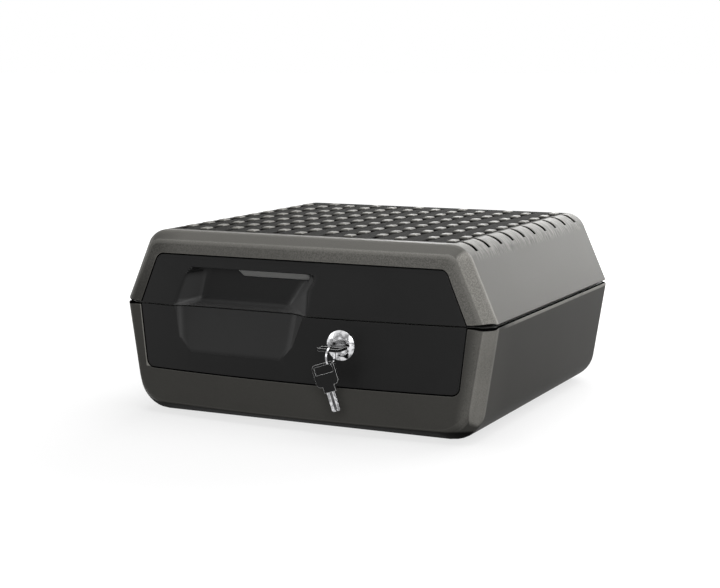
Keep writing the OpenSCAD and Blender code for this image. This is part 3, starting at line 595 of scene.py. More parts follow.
def shell_plastic(f):
    """Moulded plastic with a spark-eroded grain, coarser at the front. The tread's field is dull with
    painted shade, and its pads carry a painted sheen."""
    s, tread, panel = chest().shell, chest().tread, chest().panel
    speck, coarse, patch = f.noise(0.8 * MM, 3), f.noise(1.1 * MM, 3), f.noise(60 * MM, 2)
    x, y, z = f.axes()
    wide = f.math("ABSOLUTE", x)
    rise, depth, above = z - s.parting, y - place(0, 0, 0).y, z - (s.parting + s.lid)
    upper, lower = f.most(rise, 0.0), f.most(0 - rise, 0.0)
    side = s.width / 2 - upper * math.tan(s.lid_lean) - lower * math.tan(s.base_lean) - wide

    # the front's grain, which is strongest on the lid
    lid, right = f.over(rise, -1, 1), f.over(x, -20, 20)
    front = f.over(depth, 20, 8) * (lid * 0.75 + 0.25)
    brow = f.over(depth, 3, 1.5) * lid
    grain = f.ramp(speck * 0.65 + patch * 0.35, 0.3, 0.7) * (1 - front)
    grain = grain + f.ramp(coarse, 0.36, 0.64) * front

    # painted light and shade: highlights on the front corners' cut strips, lighter on the right, and on
    # the face beside the right strip; shade on the lid's front at the far left and on the base's sides
    corner = f.over(side * 0.8 + depth * 0.6, 10.5, 8.5) * f.over(side, 10, 8.8) * (right * 0.6 + 0.4)
    right_column_light = f.over(side, 22, 11) * f.over(depth, 3, 1.5) * right * (1 - lid * 0.2)
    left = f.over(x, -120, -160) * f.over(depth, 12, 6)
    base_side_shade = (1 - lid) * f.over(depth, 20, 70)

    # painted shadow in the gaps: along the parting line, wider at the front corners, and round the
    # panels' recess
    wedge = f.over(side, 24, 4) * f.over(depth, 16, 8) * (right * 0.8 + 0.8)
    rim = f.over(f.math("ABSOLUTE", rise), wedge + 1.8, wedge + 1.3)
    outline = panel.half - upper * ((panel.half - panel.top_half) / panel.up)
    outline = outline - lower * ((panel.half - panel.low_half) / panel.down)
    margin = 0.3 * MM
    recess_shade = f.over(depth - front_face(f, wide, upper), 0.3, 0.7) * (wide < outline + margin)
    recess_shade = recess_shade * (rise < panel.up + margin) * (rise > -panel.down - margin) * (depth < 30 * MM)
    gap = f.most(rim, recess_shade)

    # painted highlights: on the base's lip along the gap, and beside its panel on the left
    lip = f.over(rise, -4.8, -4) * f.over(rise, -1.2, -1.6) * f.over(depth, 20, 60)
    left_lip_highlight = f.over(wide - outline, 1.2, 0.8) * f.over(x, -20, -60) * f.over(depth, 5, 3)
    left_lip_highlight = left_lip_highlight * (1 - lid) * (rise > -62 * MM)

    # the slots over the long edges, which get painted shade, and the streaked lands between them
    out, up = wide - half_at(True, s.lid_round, s.parting + s.lid - s.lid_round), above + s.lid_round
    reach = f.math("SQRT", out * out + up * up)
    end = 22 * MM
    slot = f.over(reach - s.lid_round, -0.7, -1.1) * (out > 0) * (up > 0)
    slot = slot * (depth > end) * (depth < s.depth - end)
    arc = (out > -3 * MM) * f.over(up, 2, 8) * f.over(depth, 20, 30) * f.over(depth - s.depth, -20, -30)
    streak = f.noise(1.6 * MM, 3, (0.12, 1, 0.12))

    # the tread, with painted shade on its field and in its dips and a painted sheen on its pads, and
    # the foot, which gets painted shade
    run = (tread.rows - 1) / 2 * tread.row_pitch + tread.pad_l * 0.8
    from_middle = f.math("ABSOLUTE", depth - s.depth / 2 - 12 * MM)
    field = f.over(wide, 153, 147) * f.over(from_middle - run, 16, 11) * f.over(above, -2, -1.8)
    pad, dip = field * f.over(above, 0.3, 0.6), field * f.over(above, -0.3, -0.8)
    field = field - pad
    foot = f.over(z - f.over(depth, 14, 11) * 4 * MM, 8.5, 5.5)

    f.vary(grain, 0.66, 0.86)
    f.lay(
        # painted shade on the base's front; painted light on the lid, stronger on its front face with the
        # grain and towards the right
        (front * (1 - lid), 0.9),
        (lid * (0.6 - left * 0.5), 1.75),
        (brow * (grain * 0.7 + 0.15) * (right * 0.4 + 0.6) * (1 - left * 0.6), 2.4),
        # painted highlights: beside the right cut strip, on the cut strips and on the roundings near the
        # front
        (right_column_light * (grain * 0.6 + 0.2), 2.4),
        (corner * (grain * 0.5 + 0.5), 4.1),
        (f.marked("edge") * f.over(depth, 12, 8) * (lid * 0.2 + 0.1), 2.8),
        # painted shade: the lid's front at the far left, and the base's sides
        (left * lid * f.over(rise, 50, 15) * 0.5, 0.4),
        (base_side_shade * 0.65, 0.52),
        # painted highlights on the base's lip and beside its panel on the left
        (lip * f.ramp(patch, 0.3, 0.5), 3.6),
        (left_lip_highlight * 0.8, 4),
        # painted shadow in the gaps
        (gap * 0.95, 0.03),
        (arc * f.ramp(streak, 0.5, 0.62) * 0.4, 0.6),
        (arc * f.ramp(streak, 0.5, 0.38) * 0.5, 2.8),
        # painted shade in the slots and along the foot
        (slot * 0.95, 0.05),
        (foot * 0.95, 0.07),
        # painted shade on the tread's field and in its dips, painted sheen on its pads
        (field, 0.14),
        (dip, 0.03),
        (pad * (0.6 + speck * 0.8), 1.9),
    )
    rough = 0.5 + (speck - 0.5) * 0.25 + (patch - 0.5) * 0.08 + pad * 0.02 + field * 0.5
    height = speck * (1 - front * 0.5) + coarse * (front * 1.6 + brow * 1.5 + field * 3)
    # near black where painted shadow falls: in the gaps, the slots and along the foot
    painted_shadow = f.most(gap, slot * 0.9, foot * 0.6)
    return f.surface(rough, height * (1 - pad * 0.6), 0.07 * MM, painted_shadow, Specular_IOR_Level=0.04)


def handled(f, rough):
    """The clouded shade of handled plastic. Gives its fine texture and its roughness."""
    cloud = f.noise(35 * MM, 3)
    f.vary(cloud, 0.88, 1.12)
    streak = f.ramp(f.noise(2.2 * MM, 2, (1, 1, 0.15)), 0.62, 0.75)
    return f.noise(0.35 * MM, 2), rough + (cloud - 0.5) * 0.1 + streak * 0.05


def smooth_plastic(f, rough, relief):
    """Smooth moulded plastic with a faint texture and handling marks."""
    fine, rough = handled(f, rough)
    return f.surface(rough, fine, relief, Specular_IOR_Level=0.4)


def key_plastic(f):
    """Black plastic of the key bows, with painted highlights along their edges."""
    cloud = f.noise(6 * MM, 3)
    # painted highlights on the roundings
    f.shade = f.blend(f.marked("edge") * (0.7 + cloud * 0.6), f.shade, (0.75, 0.75, 0.75))
    rough = 0.3 + (cloud - 0.5) * 0.2
    return f.surface(rough, f.noise(0.5 * MM, 2), 0.01 * MM, Specular_IOR_Level=0.1)


def panel_plastic(f):
    """Satin black plastic of the front panels, with painted light on the walls of the pocket and on the
    scoop, and painted highlights on the panels' rounded edges."""
    p = chest().pocket
    fine, rough = handled(f, 0.4)
    x, y, z = f.axes()
    rise = z - chest().shell.parting
    front = front_face(f, f.math("ABSOLUTE", x), f.most(rise, 0.0))
    sink = y - place(0, chest().panel.inset, 0).y - front
    recess, lid = f.over(sink, 0.5, 4), rise > 0
    slant = (p.up - rise) / (p.up - p.sill)
    left_foot, right_foot = WALL_ENDS[0]
    right = f.over(x - p.right - slant * right_foot, -1, 3)
    left = f.over(p.left + slant * left_foot - x, -0.5, 1) * f.over(rise - p.up, -2, -12)
    sill = f.over(rise - p.sill, 2, -1)
    # painted light on the pocket's walls and sill, and on the scoop
    painted_pocket_light = recess * lid * f.math("MINIMUM", right + left * 0.5 + sill * 0.8, 1.0)
    painted_pocket_light = painted_pocket_light + (1 - lid) * f.over(sink, 0.1, 1.2) * 0.26
    # lays the painted light, and painted highlights on the rounded edges outside the recess
    f.lay((painted_pocket_light, 5.5), (f.marked("edge") * (1 - recess) * 0.15, 2.5))
    return f.surface(rough, fine, 0.01 * MM, Specular_IOR_Level=0.12)


def bright_metal(f, rough, reflection_contrast, brushed):
    """Plated or polished metal with fine brushing and duller patches, painted reflections in dark and
    bright patches, painted highlights on its edges and painted shade in its grooves.
    """
    lines, haze_and_reflection = f.noise(0.5 * MM, 3, brushed), f.noise(5 * MM, 2)
    # painted reflections: dark and bright patches of the colour, strongest on the chrome
    f.vary(f.ramp(haze_and_reflection, 0.4, 0.6), 1 - reflection_contrast, 1 + reflection_contrast * 0.6)
    # painted highlights on the roundings, and painted shade in the grooves
    f.lay((f.marked("edge") * 0.7, 1.6), (f.marked("soil") * 0.9, 0.05))
    rough = rough * 0.7 + haze_and_reflection * rough * 0.4 + lines * rough * 0.2
    return f.surface(rough, lines, 0.004 * MM, Metallic=1.0)


def cast_filling(f):
    """Cast insulation with pores and grit."""
    pores = f.ramp(f.texture("TexVoronoi", 2.2 * MM, feature="SMOOTH_F1"), 0.1, 0.35)
    grit = f.noise(0.8 * MM, 3)
    f.vary(f.noise(25 * MM, 3), 0.85, 1.1)
    return f.surface(0.92 - grit * 0.1, pores * 0.7 + grit * 0.4, 0.3 * MM)


def soft_rubber(f):
    """Matt rubber with a dusty bloom."""
    fine = f.noise(0.6 * MM, 2)
    f.vary(f.noise(9 * MM, 3), 0.8, 1.6)
    return f.surface(0.78 + (fine - 0.5) * 0.2, fine, 0.04 * MM)


def painted_steel(f):
    """Satin paint with a little orange peel, worn at high spots."""
    peel = f.noise(0.9 * MM, 2)
    worn = f.ramp(f.noise(3 * MM, 4), 0.66, 0.74)
    f.shade = f.blend(worn * 0.5, f.shade, (0.16, 0.15, 0.14))
    return f.surface(0.34 + (peel - 0.5) * 0.15, peel, 0.03 * MM)


# Each slot's finish: how it is made, its name, its colour, and what else it takes
LOOKS = {
    "shell_plastic": (shell_plastic, "charcoal_plastic", "shell"),
    "panel_plastic": (panel_plastic, "black_panel", "panel"),
    "lever_plastic": (smooth_plastic, "grey_lever", "lever", 0.38, 0.01 * MM),
    "liner_plastic": (smooth_plastic, "grey_liner", "liner", 0.5, 0.02 * MM),
    "key_plastic": (key_plastic, "key_plastic", "key"),
    # for the metals, what else is the roughness, the contrast of the painted reflections and the
    # brushing's stretch
    "chrome": (bright_metal, "chrome_plate", "chrome", 0.1, 0.55, (1, 1, 1)),
    "plated_steel": (bright_metal, "plated_steel", "steel", 0.3, 0.15, (0.1, 1, 1)),
    "hinge_paint": (painted_steel, "hinge_paint", "hinge"),
    "rubber": (soft_rubber, "black_rubber", "rubber"),
    "fill": (cast_filling, "cast_filling", "fill"),
}
FINISHES = {}


def finish(slot):
    """The finish of a slot, made when it is first asked for."""
    if slot not in FINISHES:
        look, name, colour, *more = LOOKS[slot]
        FINISHES[slot] = look(Finish(name, getattr(chest().colours, colour)), *more)
    return FINISHES[slot]


def dressed(node, width=0.3 * MM, steps=2, limit=30, groove=None, shape=None):
    """Stands a softened copy in for a CAD node. Faces that pass groove are marked for painted shade, and
    shape is work done on the copy first."""
    piece = merged(node, node + "_dressed")
    if shape:
        shape(piece)
    soften(piece, width, steps, limit)
    if groove:
        mark(piece, "soil", groove)
    ready(piece, node)


def carried(node):
    """Keeps a CAD node and gives it its finish."""
    materials = frame["nodes"][node].data.materials
    materials.clear()
    materials.append(finish(SLOTS[node]))


# Shells


def half_at(lid, inset, z):
    """Half width of a shell at a height, drawn in by inset."""
    s = chest().shell
    lean = s.lid_lean if lid else s.base_lean
    return s.width / 2 - inset / math.cos(lean) - abs(z - s.parting) * math.tan(lean)


def bow_at(x):
    s = chest().shell
    return s.bow * (1 - (x / (s.width / 2 - s.edge_cut)) ** 2)


def leaning(side, x, up, lean):
    """A plane through the parting line at x that leans inwards away from it."""
    return place(side * x, 0, chest().shell.parting), (side * math.cos(lean), 0, up * math.sin(lean))


def turn(radius, lean):
    """The width of the bevel that rounds the turn from a leaning side to a level face."""
    return radius * math.tan((math.pi / 2 - lean) / 2)


def part(piece, lid, gap):
    """Cuts a piece of the lid or the base off at a distance from the parting line."""
    up = 1 if lid else -1
    trim(piece, (place(0, 0, chest().shell.parting + up * gap), (0, 0, -up)))


def shell_form(name, lid, inset_by=0.0, front=0.0, soft=0.0):
    """The closed form of the lid or the base up to the parting line, its walls drawn in by inset_by
    and its front by front. With soft its moulded edges are rounded."""
    s = chest().shell
    up = 1 if lid else -1
    lean = s.lid_lean if lid else s.base_lean
    radius = (s.lid_round if lid else s.base_round) - inset_by
    flat = s.parting + s.lid - inset_by if lid else s.foot + inset_by
    near, far = s.edge_run + inset_by / 2, s.depth - s.edge_run - inset_by / 2
    wide, beyond = s.width / 2 + 40 * MM, s.parting - up * 60 * MM
    piece = block(name, (-wide, wide), (near, far), sorted((flat, beyond)))
    side = half_at(lid, inset_by, s.parting)
    trim(piece, *(leaning(k, side, up, lean) for k in (-1, 1)))
    with editing(piece):
        pick(piece, "edges", lambda e: at_height(e, flat) and span(e, 1) > 100 * MM)
        bevel(turn(radius, lean), 8)
        inset(piece, lambda f: f.normal.y < -0.99, (s.edge_cut, near - front))
        inset(piece, lambda f: f.normal.y > 0.99, (s.edge_cut, s.edge_run - inset_by / 2))
        if not lid:
            lower_corners(piece, inset_by, radius)
    part(piece, lid, 0)
    bow_out(piece, lid, inset_by, front)
    if soft:
        with editing(piece):
            pick(piece, "faces", lambda f: f.normal.z * up < -0.99)
            bpy.ops.mesh.extrude_region_move(TRANSFORM_OT_translate={"value": (0, 0, -up * 8 * MM)})
        soften(piece, soft, 3, 30, False)
    return piece


def lower_corners(piece, inset_by, radius):
    """Opens the cut faces' lower corners to the same radius as the long edges."""
    s = chest().shell
    small = radius - s.edge_cut
    grow = radius / small
    z1 = s.foot + inset_by + radius
    z2 = z1 + s.edge_cut
    x1 = half_at(False, inset_by + radius, z1)
    x2 = half_at(False, inset_by + s.edge_cut + radius, z2)
    ends = (place(0, s.edge_run - MM, 0).y, place(0, s.depth - s.edge_run + MM, 0).y)
    for k in (-1, 1):
        for front in (True, False):
            centre = Vector((k * x1, 0, z1))

            def on_corner(v):
                at_end = v.co.y < ends[0] if front else v.co.y > ends[1]
                reach = math.hypot(v.co.x - centre.x, v.co.z - centre.z)
                return at_end and v.co.z < z1 + small / 2 and abs(reach - small) < 0.6 * MM

            found = pick(piece, "verts", on_corner)
            if found != 9:
                raise RuntimeError(f"{piece.name}: a lower corner has {found} points and not 9")
            bpy.ops.transform.resize(value=(grow, 1, grow), center_override=centre)
            bpy.ops.transform.translate(value=(k * (x2 - x1), 0, z2 - z1))


def bow_out(piece, lid, inset_by, front):
    """Bows the front face out, in the lid only below the panel's top edge."""
    s = chest().shell
    at_front = place(0, front, 0).y
    stations = [(s.width / 2 - s.edge_cut) * k / 8 for k in range(8)]

    def on_front(f):
        return f.normal.y < -0.99 and abs(middle(f).y - at_front) < TINY

    def bowed(v):
        return abs(v.co.y - at_front) < TINY and (not lid or abs(v.co.z - s.parting) < TINY)

    if lid:
        top = s.parting + chest().panel.up
        corner = half_at(True, inset_by + s.edge_cut, top)
        runs = [(k, x, Vector((k * (corner - x), 0, top - s.parting))) for k in (-1, 1) for x in stations]
        cuts = [(place(k * x, 0, s.parting), run.cross(ALONG)) for k, x, run in runs]
        score(piece, on_front, [(place(0, 0, top), UP)])
        score(piece, lambda f: on_front(f) and middle(f).z < top, cuts)
    else:
        cuts = [(place(k * x, 0, 0), ACROSS) for x in stations for k in ((-1, 1) if x else (1,))]
        score(
            piece,
            lambda f: abs(f.normal.x) < 0.01 and f.normal.y < -0.1 and middle(f).y < at_front + 20 * MM,
            cuts,
        )
    lines = sorted({round(v.co.x, 6) for v in piece.data.vertices if bowed(v)})
    with editing(piece):
        for x in lines:
            shift(piece, lambda v: abs(v.co.x - x) < 2e-6 and bowed(v), (0, -bow_at(x), 0))


def panel_form(name, inset_by=0.0):
    """The panels' outline as a block through the front wall."""
    s, p = chest().shell, chest().panel
    low, top = s.parting - p.down + inset_by, s.parting + p.up - inset_by
    up_lean = math.atan((p.half - p.top_half) / p.up)
    low_lean = math.atan((p.half - p.low_half) / p.down)
    reach, wide = 50 * MM, p.half + 10 * MM
    piece = block(name, (-wide, wide), (-reach, reach), (low, top))
    ends = ((up_lean, 1, top), (low_lean, -1, low))
    for lean, up, z in ends:
        for k in (-1, 1):
            trim(piece, leaning(k, p.half - inset_by / math.cos(lean), up, lean))
    for lean, up, z in ends:
        with editing(piece):
            pick(piece, "edges", lambda e: at_height(e, z) and span(e, 0) < TINY)
            bevel(turn(p.corner - inset_by, lean), 8)
    return piece


def bowed_face(lid, back):
    """A shell's form moved back, which cuts a panel or its recess with its bowed front."""
    piece = shell_form("bowed_face", lid)
    with editing(piece):
        bpy.ops.mesh.select_all(action="SELECT")
        bpy.ops.transform.translate(value=(0, back, 0))
    return piece


def gap_edge(lid):
    """Height of a shell's edge along the parting gap."""
    s = chest().shell
    return s.parting + (s.gap / 2 if lid else -s.gap / 2)


def hollow(piece, lid):
    """Takes the inside and the panel's recess out of a shell, and softens the recess's edge."""
    s, p = chest().shell, chest().panel
    recess = panel_form("recess")
    carve(recess, bowed_face(lid, p.inset + p.thick))
    carve(piece, shell_form("inside", lid, s.wall, s.front_wall), recess)
    margin, behind = 2 * MM, place(0, 3 * MM, 0).y
    low, high = s.parting - p.down - margin, s.parting + p.up + margin

    def by_recess(v):
        return abs(v.co.x) <= p.half + margin and v.co.y < behind and low < v.co.z < high

    def lip(e):
        if not convex(e, 55) or at_height(e, gap_edge(lid)):
            return False
        faces = sorted(f.normal.y for f in e.link_faces)
        return faces[0] < -0.9 and abs(faces[1]) < 0.3 and all(by_recess(v) for v in e.verts)

    soften_edges(piece, lip, p.lip, 2)


def rim_edge(piece, lid):
    """Cuts a shell off at the parting gap and rounds the cut's outer edge."""
    s = chest().shell
    part(piece, lid, s.gap / 2)
    soften_edges(piece, lambda e: at_height(e, gap_edge(lid)), s.rim, 2)


def lock_rod(name, radius, start, reach):
    """A rod on the lock's axis. Start is its front end in the row frame."""
    lock = chest().lock
    return rod(name, radius, Vector((lock.x, start, chest().shell.parting - lock.down)), ALONG, reach)


def lock_bore():
    return lock_rod("bore", chest().lock.barrel + 0.1 * MM, place(0, -50 * MM, 0).y, 75 * MM)


class CHEST_OT_base_shell(bpy.types.Operator):
    """Base shell with its bowed front, cut edges and panel recess"""

    bl_idname = "chest.base_shell"
    bl_label = "Base shell"

    def execute(self, context):
        piece = shell_form("base_shell_form", False, soft=chest().shell.soft)
        rim_edge(piece, False)
        hollow(piece, False)
        nut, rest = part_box("lock_nut")[0].y, 4 * MM
        carve(piece, lock_rod("boss", chest().lock.flange + rest, nut - rest, rest), how="UNION")
        carve(piece, lock_bore(), *foot_wells(), *hinge_bores(-1))
        carve(piece, scoop_form("scoop_room", chest().pocket.wall + 0.3 * MM))
        ready(piece, "base_shell")
        return {"FINISHED"}


def foot_wells():
    low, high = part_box("rubber_feet")
    radius, below = 9 * MM, 1 * MM
    xs, ys = ((low[axis] + radius, high[axis] - radius) for axis in (0, 1))
    return [
        rod("foot_well", radius + 0.2 * MM, Vector((x, y, -below)), UP, high.z + below, 64)
        for x in xs
        for y in ys
    ]


def hinge_bores(side):
    """Bores for the leaf screws, below the parting line for side -1 and above it for 1."""
    low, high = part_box("base_hinge_screws" if side < 0 else "lid_hinge_screws")
    radius, inner, outer = 1.6 * MM, 95 * MM, 125 * MM
    at = Vector((0, high.y - 20 * MM, (low.z + high.z) / 2))
    xs = [k * x for k in (-1, 1) for x in (inner, outer)]
    return [rod("screw_bore", radius, at + ACROSS * x, ALONG, 25 * MM, 24) for x in xs]


class CHEST_OT_lid_shell(bpy.types.Operator):
    """Lid shell with its tread, edge slots and panel recess"""

    bl_idname = "chest.lid_shell"
    bl_label = "Lid shell"

    def execute(self, context):
        piece = shell_form("lid_shell_form", True, soft=chest().shell.soft)
        rim_edge(piece, True)
        tread(piece)
        edge_slots(piece)
        hollow(piece, True)
        room = pocket_form("pocket_room", chest().pocket.wall + 0.3 * MM)
        carve(piece, room, lever_slot(-1 * MM), *hinge_bores(1))
        ready(piece, "lid_shell")
        return {"FINISHED"}


def evenly(count, pitch, centre):
    """Places along a line, evenly spaced about its centre."""
    return [centre + pitch * (k - (count - 1) / 2) for k in range(count)]


def both_sides(places, width, axis):
    """Planes at both sides of each place along an axis."""
    return [(axis * (at + k * width / 2), axis) for at in places for k in (-1, 1)]


def tread(piece):
    """Raised pads and dips in turn, cut into the lid's flat top."""
    s, t = chest().shell, chest().tread
    top = s.parting + s.lid
    xs = evenly(t.cols, t.col_pitch, 0)
    ys = evenly(t.rows, t.row_pitch, place(0, s.depth / 2, 0).y)
    slope, crown = 0.6 * MM, 0.4 * MM

    def flat(f):
        return f.normal.z > 0.999 and abs(middle(f).z - top) < TINY

    def cell(odd):
        def test(f):
            m = middle(f)
            col, row = round((m.x - xs[0]) / t.col_pitch), round((m.y - ys[0]) / t.row_pitch)
            if not flat(f) or not 0 <= col < t.cols or not 0 <= row < t.rows:
                return False
            return (row + col) % 2 == odd and max(abs(m.x - xs[col]), abs(m.y - ys[row])) < TINY

        return test

    score(piece, flat, both_sides(xs, t.pad_w, ACROSS) + both_sides(ys, t.pad_l, ALONG))
    with editing(piece):
        inset(piece, cell(1), (slope, t.pad_h - crown), (crown, crown), single=True)
        inset(piece, cell(0), (t.dip_rim, 0), (slope, -t.dip), single=True)


def edge_slots(piece):
    """Slots that wrap over the lid's long edges on every second row."""
    s, t = chest().shell, chest().tread
    z = s.parting + s.lid - s.lid_round
    x = half_at(True, s.lid_round, z)
    rows = evenly(t.rows, t.row_pitch, place(0, s.depth / 2, 0).y)[::2]

    def on_arc(f):
        m = middle(f)
        angle = math.degrees(math.atan2(m.z - z, abs(m.x) - x))
        near = abs(math.hypot(m.z - z, abs(m.x) - x) - s.lid_round) < 0.8 * MM
        return near and 40 < angle < 89.9 and abs(f.normal.y) < 0.01

    def in_row(f):
        return on_arc(f) and min(abs(middle(f).y - y) for y in rows) < t.slot_w / 2

    score(piece, on_arc, both_sides(rows, t.slot_w, ALONG))
    with editing(piece):
        inset(piece, in_row, (0.45 * MM, -t.slot))


# Pocket, scoop and panels

# How far the ends of the pocket's back wall and of its mouth, left and right, stand from the wall's
# upper ends: first at the lower edge, then at the upper one
WALL_ENDS = ((-8.6 * MM, -23 * MM), (0, 0))
MOUTH_ENDS = ((-41 * MM, 10 * MM), (-27 * MM, 26 * MM))


def pocket_form(name, grow=0.0, soft=0.0):
    """The finger pocket's hollow, grown by grow, with its inner corners rounded by soft."""
    s, p, split = chest().shell, chest().pocket, chest().panel.split
    front, back = -s.bow - 1 * MM, p.back + grow
    left, right = p.left - grow, p.right + grow
    high, sill = s.parting + p.up + grow, s.parting + p.sill - grow
    mouth = s.parting + split + (p.sill - split) / p.back * front - grow
    spare = 60 * MM
    start = s.parting - spare
    piece = block(name, (left - spare, right + spare), (front, back), (start, high))
    with editing(piece):
        for y, low, ends in ((front, mouth, MOUTH_ENDS), (back, sill, WALL_ENDS)):
            for z0, z1, (to_left, to_right) in ((start, low, ends[0]), (high, high, ends[1])):
                pull(piece, place(left - spare, y, z0), place(left + to_left, y, z1))
                pull(piece, place(right + spare, y, z0), place(right + to_right, y, z1))
    if soft:
        wall = place(0, p.back, 0).y

        def inner(e):
            return not at_height(e, high) and any(abs(v.co.y - wall) < TINY for v in e.verts)

        soften_edges(piece, inner, soft, 5)
        soften_edges(piece, lambda e: at_height(e, high) and span(e, 1) > 5 * MM, p.corner, 5)
    return piece


def scoop_form(name, grow=0.0, soft=0.0):
    """The scoop's hollow below the pocket: deep at the parting line, level with the panel at its foot."""
    s, p = chest().shell, chest().pocket
    front, steps = -s.bow - 1 * MM, 6
    high, mid, low = s.parting + 5 * MM, s.parting - p.scoop * 0.68, s.parting - p.scoop - grow
    # at each height: the ends of the back and of the front in millimetres, how deep the back lies,
    # and whether it follows the bow
    levels = (
        (high, (-24, -8), (-41, 10), 0, False),
        (mid, (-21, -11), (-30, -3), s.bow * 0.3, True),
        (low, (-14, -17), (-14, -17), 0.8 * MM, True),
    )
    piece = block(name, (0, 1 * MM), (front, front + 1 * MM), (low, high))
    score(piece, lambda f: abs(f.normal.z) < 0.5, [(place(0, 0, mid), UP)])
    cuts = [(place(k / steps * MM, 0, 0), ACROSS) for k in range(1, steps)]
    score(piece, lambda f: abs(f.normal.x) < 0.5, cuts)

    def across(ends, k):
        left, right = p.left - grow + ends[0] * MM, p.right + grow + ends[1] * MM
        return left + (right - left) * k / steps

    with editing(piece):
        for z, back_ends, front_ends, y, bowed in levels:
            for k in range(steps + 1):
                here, x = place(k / steps * MM, front + 1 * MM, z), across(back_ends, k)
                pull(piece, here, place(x, y + grow - (bow_at(x) if bowed else 0), z))
                here = place(k / steps * MM, front, z)
                pull(piece, here, place(across(front_ends, k), front, z))
    if soft:
        ends = place(0, front + 0.5 * MM, 0).y

        def corner(e):
            return convex(e, 20) and all(v.co.y > ends for v in e.verts) and span(e, 2) > 1 * MM

        soften_edges(piece, corner, soft, 5)
    return piece


def lever_slot(front):
    """Room for the lever through the pocket's back wall and ceiling."""
    s, p = chest().shell, chest().pocket
    low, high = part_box("latch_lever")
    play = 0.5 * MM
    return block(
        "lever_slot",
        (low.x - play, high.x + play),
        (front, p.back + p.wall + 3 * MM),
        (low.z - play, s.parting + p.up + 7.3 * MM),
    )


def soft_front(e):
    """True for the outer edges of a panel's front face."""
    faces = sorted(f.normal.y for f in e.link_faces)
    return convex(e, 25) and faces[0] < -0.9 and faces[1] > faces[0] + 0.08


def plate(name, lid):
    """A panel's plate: its outline between two copies of the bowed front."""
    p = chest().panel
    piece = panel_form(name, p.fit)
    part(piece, lid, p.split)
    carve(piece, bowed_face(lid, p.inset), how="INTERSECT")
    carve(piece, bowed_face(lid, p.inset + p.thick))
    soften_edges(piece, soft_front, 0.5 * MM)
    return piece


def walled(piece, lid, form, soft):
    """Sets a form into a panel: the form grown by its wall, which soft rounds, less the form itself."""
    p, pocket = chest().panel, chest().pocket
    wall = form("wall", pocket.wall, soft)
    carve(wall, bowed_face(lid, p.inset + 0.2 * MM), how="INTERSECT")
    carve(piece, wall, how="UNION")
    part(piece, lid, p.split)
    carve(piece, form("hollow", 0, pocket.soft))


class CHEST_OT_panels(bpy.types.Operator):
    """Front panels with the finger pocket and the scoop"""

    bl_idname = "chest.panels"
    bl_label = "Front panels"

    def execute(self, context):
        s, pocket = chest().shell, chest().pocket
        left, right = pocket.left - 45 * MM, pocket.right + 30 * MM
        low, high = s.parting + 2 * MM, s.parting + pocket.up + 1 * MM

        def mouth(e):
            if not all(left < v.co.x < right and low < v.co.z < high for v in e.verts):
                return False
            return convex(e, 8) and min(f.normal.y for f in e.link_faces) < -0.9

        piece = plate("lid_panel_form", True)
        walled(piece, True, pocket_form, pocket.soft)
        soften_edges(piece, mouth, pocket.rim)
        carve(piece, lever_slot(1 * MM))
        ready(piece, "lid_panel", smooth=28)

        piece = plate("base_panel_form", False)
        walled(piece, False, scoop_form, 0)
        seat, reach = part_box("lock_housing")[0].y + 4 * MM, 50 * MM
        spot_face = lock_rod("spot_face", chest().lock.flange + 0.4 * MM, seat - reach, reach)
        carve(piece, lock_bore(), spot_face)
        ready(piece, "base_panel", smooth=28)
        return {"FINISHED"}


# Liners, filling, seal and feet


class CHEST_OT_inside(bpy.types.Operator):
    """Liners, filling and rim seal"""

    bl_idname = "chest.inside"
    bl_label = "Liners and filling"

    def execute(self, context):
        for node in ("base_liner", "lid_liner"):
            dressed(node, 0.8 * MM, 2, 40)
        dressed("rim_seal", 0.8 * MM, 3, 40)
        for node in ("base_fill", "lid_fill"):
            carried(node)
        return {"FINISHED"}


class CHEST_OT_feet(bpy.types.Operator):
    """Rubber feet"""

    bl_idname = "chest.feet"
    bl_label = "Feet"

    def execute(self, context):
        dressed("rubber_feet", 0.5 * MM, 3, 40)
        return {"FINISHED"}


# Latch, lock, keys and hinges


class CHEST_OT_latch(bpy.types.Operator):
    """Latch lever, hooks, axle, bracket, spring and strike plate"""

    bl_idname = "chest.latch"
    bl_label = "Latch"

    def execute(self, context):
        dressed("latch_lever", 0.6 * MM, 3)
        for node in ("latch_hooks", "latch_bracket", "strike_plate", "latch_axle"):
            dressed(node, 0.3 * MM)
        carried("latch_spring")
        return {"FINISHED"}


class CHEST_OT_lock(bpy.types.Operator):
    """Lock housing, plug, nut, cam and keeper"""

    bl_idname = "chest.lock"
    bl_label = "Lock"

    def execute(self, context):
        lock = chest().lock
        axis = place(lock.x, 0, chest().shell.parting - lock.down)
        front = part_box("lock_housing")[0].y

        def dome(piece):
            """Domes the flange from its rim to the plug's collar."""
            run = ((lock.flange**2 - lock.barrel**2) / lock.dome + lock.dome) / 2
            ball = new_piece(
                "dome", bpy.ops.mesh.primitive_uv_sphere_add, segments=160, ring_count=96,
                radius=math.hypot(run, lock.barrel), location=(axis.x, front + run, axis.z),
            )
            carve(piece, ball, how="INTERSECT")

        # the faces of the ring groove round the plug, which get painted shade
        def ditch(face):
            x, y, z = face.center
            near = math.hypot(x - axis.x, z - axis.z) < lock.barrel
            return near and front + 0.4 * MM < y < front + 2 * MM

        for node in ("lock_housing", "lock_plug"):
            dressed(node, 0.3 * MM, groove=ditch, shape=dome)
        for node in ("lock_nut", "lock_cam", "cam_keeper"):
            dressed(node, 0.3 * MM)
        return {"FINISHED"}


